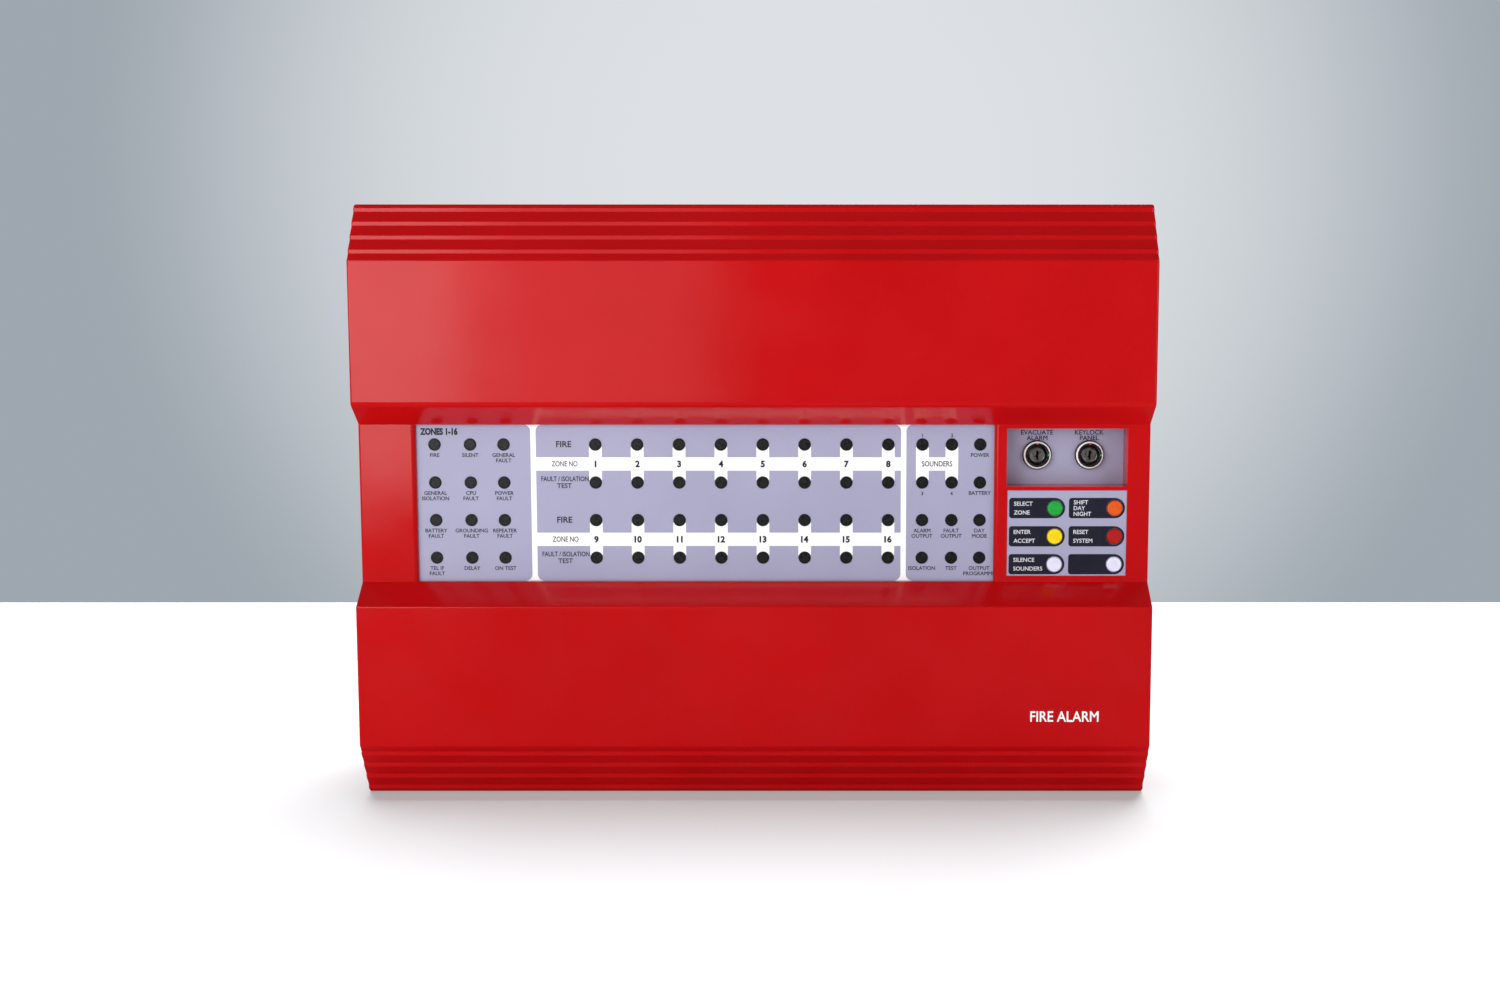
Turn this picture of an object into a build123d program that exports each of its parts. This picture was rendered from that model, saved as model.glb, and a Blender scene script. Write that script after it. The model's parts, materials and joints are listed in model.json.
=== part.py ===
from build123d import *
import os
from math import pi, radians, tan

# Wall-mounted fire alarm control panel: a moulded case with a hinged front, a zone lamp display,
# two key switches and six push buttons. Sizes are in millimetres.
# +Z is up, +X is to the operator's right and -Y points out of the wall towards the operator.
# The origin is the centre of the back face, which lies on the wall.

# Case
WIDTH = 400.0
HEIGHT = 300.0
DEPTH = 105.0
WALL = 3.0
BOX_DEPTH = 64.0
PARTING_GAP = 0.3
HALF_WIDTH = WIDTH / 2
HALF_HEIGHT = HEIGHT / 2
FRONT = -DEPTH
BOX_RIM = -BOX_DEPTH
COVER_RIM = BOX_RIM - PARTING_GAP
BACK_INSIDE = -WALL
CUT = 1.0  # how far a cutting shape runs past the face it opens

# Front profile, as heights from the panel's middle
FOLD_OUTER = 122.0
FOLD_INNER = 50.5
RECESS_HALF = 40.0
RECESS_DEPTH = 15.2
RECESS = FRONT + RECESS_DEPTH
RECESS_WALL = 2.75
RECESS_BACK = RECESS + RECESS_WALL
HOLLOW_FRONT = FRONT + WALL
HOLLOW_SHOULDER = FRONT + 20.5
HOLLOW_FOLD_OUTER = FOLD_OUTER - 1.7
HOLLOW_FOLD_INNER = FOLD_INNER + 1.5
HOLLOW_RECESS_HALF = RECESS_HALF + 1.75
BOX_EDGE_R = 0.8
RIB_SLOPES = (3.4, 5.05, 5.05, 5.05, 1.85)
RIB_LAND = 1.9
RIB_FALL = 0.9
OUTER_FOLD_R = 1.5
UPPER_FOLD_R = 3.5
LOWER_FOLD_R = 1.0
RIB_R = 0.35
SIDE_EDGE_R = 1.2

# Hinge on the left side
HINGE_X = -204.2
HINGE_Y = BOX_RIM - PARTING_GAP / 2
HINGE_HEIGHTS = (-95.0, 95.0)
KNUCKLE_R = 3.5
KNUCKLE_LENGTH = 12.0
KNUCKLE_GAP = 0.4
PIN_R = 1.5
PIN_CLEARANCE = 0.05

# Cover clamps on the right side
CLAMP_HEIGHTS = (-90.0, 90.0)
CLAMP_Y = BOX_RIM + 8.0
CLAMP_SCREW_R = 2.0
CLAMP_TAB_GAP = 0.4
CLAMP_TAB = 2.5
CLAMP_TAB_HALF = 9.0
CLAMP_TAB_REACH = 6.0
CLAMP_TAB_ROOT = COVER_RIM - 10.0
CLAMP_SLOT_R = CLAMP_SCREW_R + 0.5
CLAMP_SHANK = WALL + 9.0
CLAMP_HEAD_R = 4.0
CLAMP_HEAD = 2.6
NUT_HALF = 3.5
NUT = 3.2
NUT_GAP = 0.3
TONGUE = 1.6
TONGUE_GAP = 0.5
TONGUE_DEPTH = 4.0
TONGUE_ROOT = 6.0
TONGUE_SPANS = ((-150.0, -60.0), (60.0, 150.0))

# Zone label and its lamps
LABEL_LEFT = -171.3
LABEL_RIGHT = 121.3
LABEL_THICK = 2.0
LABEL_FLANGE_LEFT = -175.0
LABEL_FLANGE_RIGHT = 125.0
LABEL_FLANGE_HALF = 41.4
LABEL_EDGE_R = 2.2
LABEL_BACK = RECESS_BACK + LABEL_THICK
LAMP_ROWS = (29.75, 10.4, -8.8, -28.1)
LEFT_LAMPS = (-162.1, -144.1, -127.15)
RIGHT_LAMPS = (85.0, 99.9, 114.25)
ZONE_FIRST = -80.7
ZONE_PITCH = 21.2
ZONE_COLUMNS = 8
LENS_R = 3.1
LENS_HOLE_R = 3.2
LENS_FLANGE_R = 3.9
LENS_PROUD = 0.35
LENS_FLANGE = 0.8
LED_R = 2.5
LED_HEIGHT = 8.2
LED_RIM = 0.4

# Display board behind the label
DISPLAY_LEFT = -172.0
DISPLAY_RIGHT = 122.0
DISPLAY_HALF = 49.5
DISPLAY_FRONT = -75.9
BOARD = 1.6
DISPLAY_BACK = DISPLAY_FRONT + BOARD
DISPLAY_SCREWS_X = (-166.0, -25.0, 116.0)
DISPLAY_SCREWS_Z = (-46.5, 46.5)
DISPLAY_BOSS_R = 3.0
DISPLAY_BOSS_FRONT = FRONT + 11.0
DISPLAY_BOSS_BORE = 8.0

# Key window and key switches
KEY_LEFT = 127.5
KEY_RIGHT = 188.6
KEY_BOTTOM = 8.6
KEY_TOP = 38.0
KEY_RIM = 1.9
KEY_PLATE_FRONT = RECESS + 14.0
KEY_PLATE = 2.0
KEY_CENTRES = (144.3, 171.1)
KEY_HEIGHT = 23.6
KEY_BARREL_R = 6.0
KEY_BEZEL_R = 7.0
KEY_BASE_R = 7.55
KEY_DISH_R = 5.3
KEY_PLUG_R = 3.75
KEY_CLEARANCE = 0.05
KEY_STAND = 3.0
KEY_FRONT = KEY_PLATE_FRONT - KEY_STAND
KEY_BARREL_BACK = KEY_PLATE_FRONT + 20.0
KEY_BASE = 1.0
KEY_BEVEL = 0.7
KEY_DISH = 2.4
KEY_SUNK = 0.9
KEYWAY_DEPTH = 14.0
KEY_TAIL_R = 1.8
KEY_TAIL = 6.0
KEY_SLOT = (1.1, 4.9)
KEY_NUT_R = 9.2
KEY_NUT = 3.0
CONTACT_HALF = 8.0
CONTACT = 8.0
CONTACT_WELL = 7.0
CONTACT_TABS = (-4.0, 4.0)
CONTACT_TAB_HALF = 1.4
CONTACT_TAB = 4.0
CONTACT_TAB_THICK = 0.6

# Button plate and buttons
BUTTONS_LEFT = 128.0
BUTTONS_RIGHT = 188.7
BUTTONS_BOTTOM = -37.1
BUTTONS_TOP = 6.7
BUTTON_PLATE_FRONT = RECESS + 0.3
BUTTON_PLATE = 2.45
BUTTON_COLUMNS = (("left", 152.2), ("right", 182.5))
BUTTON_ROWS = (("top", -2.35), ("middle", -16.8), ("bottom", -31.1))
BUTTON_R = 3.825
BUTTON_GAP = 0.3
BUTTON_PROUD = 1.0
BUTTON_BOARD_FRONT = -76.6
BUTTON_POSTS = ((134.0, -33.5), (134.0, 2.2), (167.5, -24.0), (167.5, 2.2))
BUTTON_POST_R = 2.6
POST_SCREW_R = 1.2
POST_HEAD_R = 2.4
POST_HEAD = 1.6
BUTTON_FIT = 0.1
BUTTON_FLANGE_GAP = 1.05
BUTTON_FLANGE_R = BUTTON_R + 0.9
BUTTON_FLANGE = 1.0
PLATE_LIP = 1.0
PLATE_LIP_REACH = 1.9
BUTTON_BOARD = (130.0, 189.5, -38.0, 5.6)
SWITCH_HEIGHT = 4.3
SWITCH_HALF = 3.0
SWITCH_WELL_R = 1.9
SWITCH_WELL = 3.0
STEM_R = 1.6
STEM_REACH = 1.0

# Batteries: 12 V, 7 Ah blocks
BATTERY = (151.0, 65.0, 94.0)
BATTERY_LEFTS = (-182.0, -27.0)
BATTERY_BACK = -8.0
BATTERY_FRONT = BATTERY_BACK - BATTERY[1]
BATTERY_BOTTOM = -143.5
BATTERY_TOP = BATTERY_BOTTOM + BATTERY[2]
TAB_Y = -66.0
TAB_INSET = 14.0
TAB_HEIGHT = 6.3
SLEEVE_TOP = -31.0
STRAP = 1.2
STRAP_LOW = -107.0
STRAP_HIGH = -87.0
STRAP_MIDDLE = (STRAP_LOW + STRAP_HIGH) / 2
STRAP_FOOT = 12.0
STRAP_BEND_R = 3.0
STRAP_SCREW_R = 1.8
STRAP_SCREW_DEPTH = 2.4
STRAP_HEAD_R = 3.6
STRAP_HEAD = 2.4
LID = 9.0
LID_GROOVE = (0.8, 0.6)
BATTERY_RIBS = (-150.0, -60.0, 5.0, 95.0)
BATTERY_RIB = 3.0
BATTERY_RIB_FRONT = BATTERY_FRONT + 16.0
TAB_HALF = 3.15
TAB_THICK = 0.8
SLEEVE = (9.0, 4.4)
FOAM_INSETS = (30.0, BATTERY[0] - 55.0)
FOAM_WIDTH = 25.0
FOAM_LOW = BATTERY_BOTTOM + 10.0
FOAM_HIGH = BATTERY_TOP - 12.0

# Boards in the back box
BOARD_BACK = -10.0
BOARD_FRONT = BOARD_BACK - BOARD
MAIN_BOARD = (-186.0, 72.0, -36.0, 104.0)
MAIN_SCREWS = [(x, z) for x in (-182.0, -57.0, 68.0) for z in (-32.0, 88.0)]
SUPPLY_BOARD = (84.0, 190.0, -34.0, 98.0)
SUPPLY_SCREWS = [(x, z) for x in (87.5, 186.5) for z in (-14.5, 94.5)]
SPACER_R = 3.2
SCREW_R = 1.5
BOARD_HEAD_R = 2.8
BOARD_HEAD = 1.9
SHIELD_LEFT = 100.0
SHIELD_RIGHT = 183.0
SHIELD_LOW = -18.0
SHIELD_FRONT = -42.0
SHIELD = 1.0
SHIELD_COLUMNS = 9
SHIELD_ROWS = 3
SHIELD_SLOT = (2.6, 24.0)
SHIELD_SLOT_FIRST = (SHIELD_LEFT + 9.5, SHIELD_LOW + 12.0)
SHIELD_SLOT_PITCH = (8.0, 36.0)

# Things on the boards, each placed by its middle as (x, z)
RELAY_LEFTS = (-2.0, 15.5, 33.0, 50.5)
RELAY = (15.5, 15.0)
RELAY_LOW = 66.0
RELAY_HIGH = 85.0
CONTROLLER = (-82.0, 30.0)
CONTROLLER_HALF = 12.0
CONTROLLER_LEGS = 11
CONTROLLER_PITCH = 1.9
CHIPS = [(x, z) for x in (-128.0, -40.0, -12.0, 16.0) for z in (48.0, 10.0)]
CHIP_HALF = 3.2
CHIP_PINS = 16
PIN_PITCH = 2.54
PIN_HALF = 0.35
FUSES = [(-128.0 + 30 * i, 76.0) for i in range(4)]
FUSE_Y = BOARD_FRONT - 5.4
FUSE_GLASS_R = 2.5
FUSE_CAP_R = 2.6
FUSE_GLASS_HALF = 5.5
FUSE_HALF = 10.0
CLIP_HALF = 3.3
SMALL_CAPACITORS = [(x, z) for x in (-110.0, -98.0, 28.0, 40.0) for z in (-6.0, -22.0)]
SMALL_CAPACITOR = (4.0, 12.0)
LARGE_CAPACITOR = (128.0, -1.0, 11.0, 25.0)
BUZZER = (46.0, 30.0, 11.0, 9.5)
PLUGS = ((60.0, -20.0), (62.0, 53.0), (91.5, 53.0))
PLUG_HEIGHT = 12.0
CORE = (112.0, 144.0, 20.0, 56.0)
BOBBIN = (116.0, 140.0, 14.0, 62.0)
CORE_FRONT = BOARD_FRONT - 27.0
BOBBIN_FRONT = BOARD_FRONT - 24.0
HEAT_SINK = (152.0, 172.0, -8.0, 52.0)
HEAT_SINK_FRONT = BOARD_FRONT - 26.0
HEAT_SINK_PLATE = 3.0
FIN = 1.6
FIN_PITCH = 7.0
FINS = 9

# Terminals
WAY = 5.0
WAYS = 4
TERMINAL_GAP = 0.2
TERMINAL_DEPTH = 14.0
TERMINAL_LOW = 93.0
TERMINAL_HIGH = 104.0
TERMINAL_WELL_R = 1.9
TERMINAL_WELL = 4.0
TERMINAL_WELL_Z = TERMINAL_LOW + 5.5
TERMINAL_HEAD = 1.6
WIRE_WAY_HALF = 1.7
ZONE_BLOCKS = 8
OUTPUT_BLOCKS = 4
MAINS_WAYS = (151.5, 160.0, 168.5)
MAINS_LEFT = 146.0
MAINS_RIGHT = 174.0
MAINS_WELL_R = 2.2
MAINS_WELL_DEPTH = 5.0
MAINS_LOW = -80.0
MAINS_HIGH = -66.0
MAINS_FRONT = -21.0
INPUT_LOW = -34.0
INPUT_HIGH = -22.0
INPUT_FRONT = BOARD_FRONT - 14.0
EARTH = (186.0, -96.0)
EARTH_STUD_R = 2.0
EARTH_WASHER_R = 5.0
EARTH_NUT_R = 4.2

# Entries and fixings in the back box
ENTRY_R = 10.2
ENTRY_Y = -26.0
ENTRY_FIRST = -160.0
ENTRY_PITCH = 40.0
ENTRY_COUNT = 8
MAINS_ENTRY = (160.0, -30.0)
GROMMET_LIP = 1.8
GROMMET_WALL = 2.2
GROMMET_SKIN = 0.6
GROMMET_OUTSIDE = 2.0
GROMMET_INSIDE = 2.5
FIXING_X = 170.0
FIXING_Z = 125.0
FIXING_R = 2.75

# Wires, as hand-laid routes from one end to the other
WIRE_R = 1.1
LINK_LEAD = [
    (-45.0, TAB_Y, SLEEVE_TOP),
    (-45.0, TAB_Y, -15.0),
    (-29.0, TAB_Y, -1.0),
    (-13.0, TAB_Y, -15.0),
    (-13.0, TAB_Y, SLEEVE_TOP),
]
RED_LEAD = [
    (110.0, TAB_Y, SLEEVE_TOP),
    (110.0, TAB_Y, -17.0),
    (98.0, -61.0, -8.0),
    (80.0, -54.0, -8.0),
    (66.0, -46.0, -14.0),
    (62.5, -36.0, -20.0),
    (62.5, BOARD_FRONT - PLUG_HEIGHT, -20.0),
]
BLACK_LEAD = [
    (-168.0, TAB_Y, SLEEVE_TOP),
    (-168.0, TAB_Y, -17.0),
    (-153.0, -60.0, -8.0),
    (-118.0, -55.0, -5.0),
    (-66.0, -56.0, -10.0),
    (-12.0, -54.0, -6.0),
    (28.0, -52.0, -11.0),
    (50.0, -46.0, -16.0),
    (57.5, -36.0, -20.0),
    (57.5, BOARD_FRONT - PLUG_HEIGHT, -20.0),
]
SUPPLY_LEAD = (62.0, 91.5)
SUPPLY_LEAD_HEIGHTS = (55.5, 50.5)
MAINS_WIRE_END = 8.0
MAINS_WIRE_BOW = 3.4

# Ribbon cable, as the (x, y) route of a strip that spans from RIBBON_LOW to RIBBON_HIGH
RIBBON_LOW = 5.0
RIBBON_HIGH = 30.0
RIBBON_THICK = 1.0
RIBBON_BEND_R = 2.5
SOCKET_LOW = 2.0
SOCKET_HIGH = 33.0
SOCKET_HALF = 4.2
MAIN_SOCKET_FRONT = BOARD_FRONT - 10.0
DISPLAY_SOCKET_BACK = DISPLAY_BACK + 8.0
MAIN_SOCKET_X = -150.0
DISPLAY_SOCKET_X = -160.0
RIBBON_ROUTE = [
    (MAIN_SOCKET_X, MAIN_SOCKET_FRONT),
    (MAIN_SOCKET_X, -36.0),
    (-190.5, -43.0),
    (-190.5, -53.0),
    (DISPLAY_SOCKET_X, -60.0),
    (DISPLAY_SOCKET_X, DISPLAY_SOCKET_BACK),
]
PROFILE_PLANE = Plane(origin=(-HALF_WIDTH, 0, 0), x_dir=(0, 1, 0), z_dir=(1, 0, 0))


def block(x0, x1, y0, y1, z0, z1):
    return Pos((x0 + x1) / 2, (y0 + y1) / 2, (z0 + z1) / 2) * Box(x1 - x0, y1 - y0, z1 - z0)


def rod_y(x, z, radius, y0, y1):
    return Pos(x, (y0 + y1) / 2, z) * Rot(90, 0, 0) * Cylinder(radius, abs(y1 - y0))


def rod_x(y, z, radius, x0, x1):
    return Pos((x0 + x1) / 2, y, z) * Rot(0, 90, 0) * Cylinder(radius, abs(x1 - x0))


def rod_z(x, y, radius, z0, z1):
    return Pos(x, y, (z0 + z1) / 2) * Cylinder(radius, abs(z1 - z0))


def save(name, *shapes):
    solids = [solid for shape in shapes for solid in shape.solids()]
    whole = solids[0] if len(solids) == 1 else Compound(children=solids)
    export_step(whole, f"parts/{name}.step")


def screw_y(x, z, seat, way, shank_r, length, head_r, head_height):
    """A cross-head screw along Y. seat is the head's underside and way is the shank's direction."""
    head = rod_y(x, z, head_r, seat, seat - way * head_height)
    top = head.edges().filter_by(GeomType.CIRCLE).sort_by(Axis.Y)
    head = fillet(top[0] if way > 0 else top[-1], head_height * 0.45)
    shank = rod_y(x, z, shank_r, seat - way * 0.2, seat + way * length)
    face = seat - way * head_height
    floor = face + way * head_height * 0.5
    low, high = min(face, floor) - 0.01, max(face, floor) + 0.01
    cross = block(x - head_r * 0.6, x + head_r * 0.6, low, high, z - 0.3, z + 0.3)
    cross += block(x - 0.3, x + 0.3, low, high, z - head_r * 0.6, z + head_r * 0.6)
    return head + shank - cross


def hexagon_y(x, z, radius, y0, length):
    section = Plane(origin=(x, y0, z), x_dir=(1, 0, 0), z_dir=(0, 1, 0))
    return extrude(section * RegularPolygon(radius, 6), amount=length)


def front_circle(shape):
    return shape.edges().filter_by(GeomType.CIRCLE).sort_by(Axis.Y)[0]


def lamp_places(columns):
    return [(x, z) for z in LAMP_ROWS for x in columns]


def zone_columns():
    return [ZONE_FIRST + ZONE_PITCH * i for i in range(ZONE_COLUMNS)]


def all_lamps():
    return lamp_places(LEFT_LAMPS) + lamp_places(zone_columns()) + lamp_places(RIGHT_LAMPS)


# Front cover

def rib_points():
    """Points (y, z, corner radius) of the stepped edge, from the bulge's fold outwards."""
    y, z = FRONT, FOLD_OUTER
    points = [(y, z, OUTER_FOLD_R)]
    for index, slope in enumerate(RIB_SLOPES):
        z += slope
        y += RIB_FALL * slope
        points.append((y, z, 0))
        if index < len(RIB_SLOPES) - 1:
            z += RIB_LAND
            points.append((y, z, 0))
    return points


def cover_outline():
    upper = [(COVER_RIM, HALF_HEIGHT, 0)] + rib_points()[::-1]
    lower = [(y, -z, r) for y, z, r in upper][::-1]
    middle = [
        (FRONT, FOLD_INNER, UPPER_FOLD_R),
        (RECESS, RECESS_HALF, 0),
        (RECESS, -RECESS_HALF, 0),
        (FRONT, -FOLD_INNER, LOWER_FOLD_R),
    ]
    corners = upper + middle + lower
    path = FilletPolyline(
        *[(y, z) for y, z, _ in corners], radius=[r for _, _, r in corners], close=True
    )
    return make_face(path)


def cover_hollow():
    """The space behind the front skin, which is about WALL thick everywhere."""
    upper = [
        (COVER_RIM + CUT, HALF_HEIGHT - WALL),
        (HOLLOW_SHOULDER, HALF_HEIGHT - WALL),
        (HOLLOW_FRONT, HOLLOW_FOLD_OUTER),
        (HOLLOW_FRONT, HOLLOW_FOLD_INNER),
        (RECESS_BACK, HOLLOW_RECESS_HALF),
    ]
    lower = [(y, -z) for y, z in upper][::-1]
    section = make_face(Polyline(*(upper + lower), close=True))
    return Pos(WALL, 0, 0) * extrude(PROFILE_PLANE * section, amount=WIDTH - 2 * WALL)


def knuckle(z0, z1, web_y0, web_y1, bore):
    barrel = rod_z(HINGE_X, HINGE_Y, KNUCKLE_R, z0, z1)
    web = block(HINGE_X, -HALF_WIDTH + WALL / 3, web_y0, web_y1, z0, z1)
    return barrel + web - rod_z(HINGE_X, HINGE_Y, bore, z0 - CUT, z1 + CUT)


def cover_knuckles():
    half = KNUCKLE_LENGTH / 2
    bore = PIN_R + PIN_CLEARANCE
    web = COVER_RIM - KNUCKLE_R
    return [knuckle(z - half, z + half, web, COVER_RIM, bore) for z in HINGE_HEIGHTS]


def box_knuckles():
    half = KNUCKLE_LENGTH / 2
    found = []
    for z in HINGE_HEIGHTS:
        for low in (z - half - KNUCKLE_GAP - KNUCKLE_LENGTH, z + half + KNUCKLE_GAP):
            found.append(knuckle(low, low + KNUCKLE_LENGTH, BOX_RIM, BOX_RIM + KNUCKLE_R, PIN_R))
    return found


def alignment_tongues():
    """Lips that locate the cover inside the box's top and bottom walls, clear of the hinge side."""
    inside = HALF_HEIGHT - WALL - TONGUE_GAP
    low, high = COVER_RIM - TONGUE_ROOT, COVER_RIM + TONGUE_DEPTH
    lips = []
    for x0, x1 in TONGUE_SPANS:
        for side in (-1, 1):
            z0, z1 = sorted((side * inside, side * (inside - TONGUE)))
            root = sorted((side * (inside - TONGUE), side * (HALF_HEIGHT - WALL / 2)))
            lips.append(block(x0, x1, low, high, z0, z1))
            lips.append(block(x0, x1, low, COVER_RIM, *root))
    return lips


def clamp_tab(z):
    """A tab inside the box's right wall, with a slot open to the rear for the clamp screw."""
    outside = HALF_WIDTH - WALL - CLAMP_TAB_GAP
    inside = outside - CLAMP_TAB
    low, high = z - CLAMP_TAB_HALF, z + CLAMP_TAB_HALF
    end = CLAMP_Y + CLAMP_TAB_REACH
    tab = block(inside, outside, CLAMP_TAB_ROOT, end, low, high)
    tab += block(inside, HALF_WIDTH - WALL / 2, CLAMP_TAB_ROOT, COVER_RIM, low, high)
    slot = rod_x(CLAMP_Y, z, CLAMP_SLOT_R, inside - CUT, outside + CUT)
    slot += block(
        inside - CUT, outside + CUT, CLAMP_Y, end + CUT, z - CLAMP_SLOT_R, z + CLAMP_SLOT_R
    )
    return tab - slot


def cover_skin():
    """The cover's outer shape, with softened sides and rib folds."""
    skin = extrude(PROFILE_PLANE * cover_outline(), amount=WIDTH)
    sides = [
        edge
        for edge in skin.edges()
        if abs(abs(edge.center().X) - HALF_WIDTH) < 0.01 and edge.center().Y < COVER_RIM - CUT
    ]
    skin = fillet(sides, SIDE_EDGE_R)
    folds = [
        edge
        for edge in skin.edges().filter_by(Axis.X)
        if abs(edge.center().Z) > FOLD_OUTER + 1 and edge.center().Y < COVER_RIM - CUT
    ]
    return fillet(folds, RIB_R)


def key_box(y0, y1):
    """The key pocket's outside, from y0 to y1."""
    low, high = KEY_BOTTOM - KEY_RIM, KEY_TOP + KEY_RIM
    return block(KEY_LEFT - KEY_RIM, KEY_RIGHT + KEY_RIM, y0, y1, low, high)


def front_cover():
    shell = cover_skin() - cover_hollow()
    front, back = RECESS - CUT, RECESS_BACK + CUT
    shell -= block(LABEL_LEFT, LABEL_RIGHT, front, back, -RECESS_HALF, RECESS_HALF)
    shell += key_box(RECESS, KEY_PLATE_FRONT)
    shell -= block(KEY_LEFT, KEY_RIGHT, front, KEY_PLATE_FRONT + CUT, KEY_BOTTOM, KEY_TOP)
    shell -= block(BUTTONS_LEFT, BUTTONS_RIGHT, front, back, BUTTONS_BOTTOM, BUTTONS_TOP)
    rounded = [
        edge
        for edge in shell.edges().filter_by(Axis.Z)
        if abs(edge.center().Y - RECESS) < 0.01
        and min(abs(edge.center().X - LABEL_LEFT), abs(edge.center().X - LABEL_RIGHT)) < 0.01
    ]
    shell = fillet(rounded, LABEL_EDGE_R)
    for x in DISPLAY_SCREWS_X:
        for z in DISPLAY_SCREWS_Z:
            shell += rod_y(x, z, DISPLAY_BOSS_R, DISPLAY_BOSS_FRONT, DISPLAY_FRONT)
            shell -= rod_y(x, z, SCREW_R, DISPLAY_FRONT - DISPLAY_BOSS_BORE, DISPLAY_FRONT + CUT)
    for lug in cover_knuckles() + alignment_tongues():
        shell += lug
    for z in CLAMP_HEIGHTS:
        shell += clamp_tab(z)
    return shell


# Zone label, lenses and lamps

def zone_label():
    left, right, half = LABEL_FLANGE_LEFT, LABEL_FLANGE_RIGHT, LABEL_FLANGE_HALF
    plate = block(left, right, RECESS_BACK, LABEL_BACK, -half, half)
    front, back = RECESS_BACK - CUT, LABEL_BACK + CUT
    return plate - [rod_y(x, z, LENS_HOLE_R, front, back) for x, z in all_lamps()]


def lens(x, z):
    body = rod_y(x, z, LENS_R, RECESS_BACK - LENS_PROUD, LABEL_BACK)
    body = fillet(front_circle(body), 0.3)
    return body + rod_y(x, z, LENS_FLANGE_R, LABEL_BACK, LABEL_BACK + LENS_FLANGE)


def led(x, z):
    body = rod_y(x, z, LED_R, DISPLAY_FRONT - LED_HEIGHT, DISPLAY_FRONT)
    body = fillet(front_circle(body), LED_R * 0.92)
    return body + rod_y(x, z, LED_R + LED_RIM, DISPLAY_FRONT - 1, DISPLAY_FRONT)


def lamp_groups():
    rows = LAMP_ROWS
    return {
        "zone_fire_leds": [(x, z) for x in zone_columns() for z in (rows[0], rows[2])],
        "zone_fault_leds": [(x, z) for x in zone_columns() for z in (rows[1], rows[3])],
        "status_leds": lamp_places(LEFT_LAMPS + RIGHT_LAMPS),
    }


def cover_board_screws():
    """Screws from behind: six into the display bosses and four into the button plate's posts."""
    screws = [
        screw_y(x, z, DISPLAY_BACK, -1, SCREW_R, BOARD + 6, BOARD_HEAD_R, BOARD_HEAD)
        for x in DISPLAY_SCREWS_X
        for z in DISPLAY_SCREWS_Z
    ]
    seat = BUTTON_BOARD_FRONT + BOARD
    for x, z in BUTTON_POSTS:
        screws.append(screw_y(x, z, seat, -1, POST_SCREW_R, BOARD + 4, POST_HEAD_R, POST_HEAD))
    return screws


def display_board():
    board = block(DISPLAY_LEFT, DISPLAY_RIGHT, DISPLAY_FRONT, DISPLAY_BACK, -DISPLAY_HALF, DISPLAY_HALF)
    for x in DISPLAY_SCREWS_X:
        for z in DISPLAY_SCREWS_Z:
            board -= rod_y(x, z, SCREW_R + 0.2, DISPLAY_FRONT - CUT, DISPLAY_BACK + CUT)
    return board


# Key switches

def key_plate():
    back = KEY_PLATE_FRONT + KEY_PLATE
    plate = key_box(KEY_PLATE_FRONT, back)
    for x in KEY_CENTRES:
        plate -= rod_y(x, KEY_HEIGHT, KEY_BARREL_R, KEY_PLATE_FRONT - CUT, back + CUT)
    return plate


def key_barrel(x):
    """The fixed barrel: a stepped bezel with a dished face, a threaded body and the plug's bore."""
    base_front = KEY_PLATE_FRONT - KEY_BASE
    base = rod_y(x, KEY_HEIGHT, KEY_BASE_R, base_front, KEY_PLATE_FRONT)
    ring = rod_y(x, KEY_HEIGHT, KEY_BEZEL_R, KEY_FRONT, base_front)
    ring = chamfer(front_circle(ring), KEY_BEVEL)
    body = rod_y(x, KEY_HEIGHT, KEY_BARREL_R, KEY_PLATE_FRONT - KEY_BASE / 2, KEY_BARREL_BACK)
    bore = rod_y(x, KEY_HEIGHT, KEY_PLUG_R + KEY_CLEARANCE, KEY_FRONT - CUT, KEY_BARREL_BACK + CUT)
    dish = Cone(
        KEY_DISH_R, KEY_PLUG_R + 0.4, KEY_DISH, align=(Align.CENTER, Align.CENTER, Align.MIN)
    )
    return base + ring + body - bore - Pos(x, KEY_FRONT, KEY_HEIGHT) * Rot(-90, 0, 0) * dish


def key_nut(x):
    seat = KEY_PLATE_FRONT + KEY_PLATE
    nut = hexagon_y(x, KEY_HEIGHT, KEY_NUT_R, seat, KEY_NUT)
    return nut - rod_y(x, KEY_HEIGHT, KEY_BARREL_R, seat - CUT, seat + KEY_NUT + CUT)


def key_plug(x):
    """The turning plug, with its keyway upright at rest and a drive tail at the rear."""
    front = KEY_FRONT + KEY_SUNK
    plug = rod_y(x, KEY_HEIGHT, KEY_PLUG_R, front, KEY_BARREL_BACK - 1)
    plug = chamfer(front_circle(plug), 0.3)
    tail = rod_y(x, KEY_HEIGHT, KEY_TAIL_R, KEY_BARREL_BACK - 1, KEY_BARREL_BACK + KEY_TAIL)
    depth = front + KEYWAY_DEPTH
    half_width, half_height = KEY_SLOT[0] / 2, KEY_SLOT[1] / 2
    z = KEY_HEIGHT
    way = block(x - half_width, x + half_width, front - CUT, depth, z - half_height, z + half_height)
    way += block(x - 1.15, x - 0.4, front - CUT, depth, z - 1.2, z - 0.2)
    way += block(x + 0.4, x + 1.0, front - CUT, depth, z + 0.6, z + 1.5)
    return plug + tail - way


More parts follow.
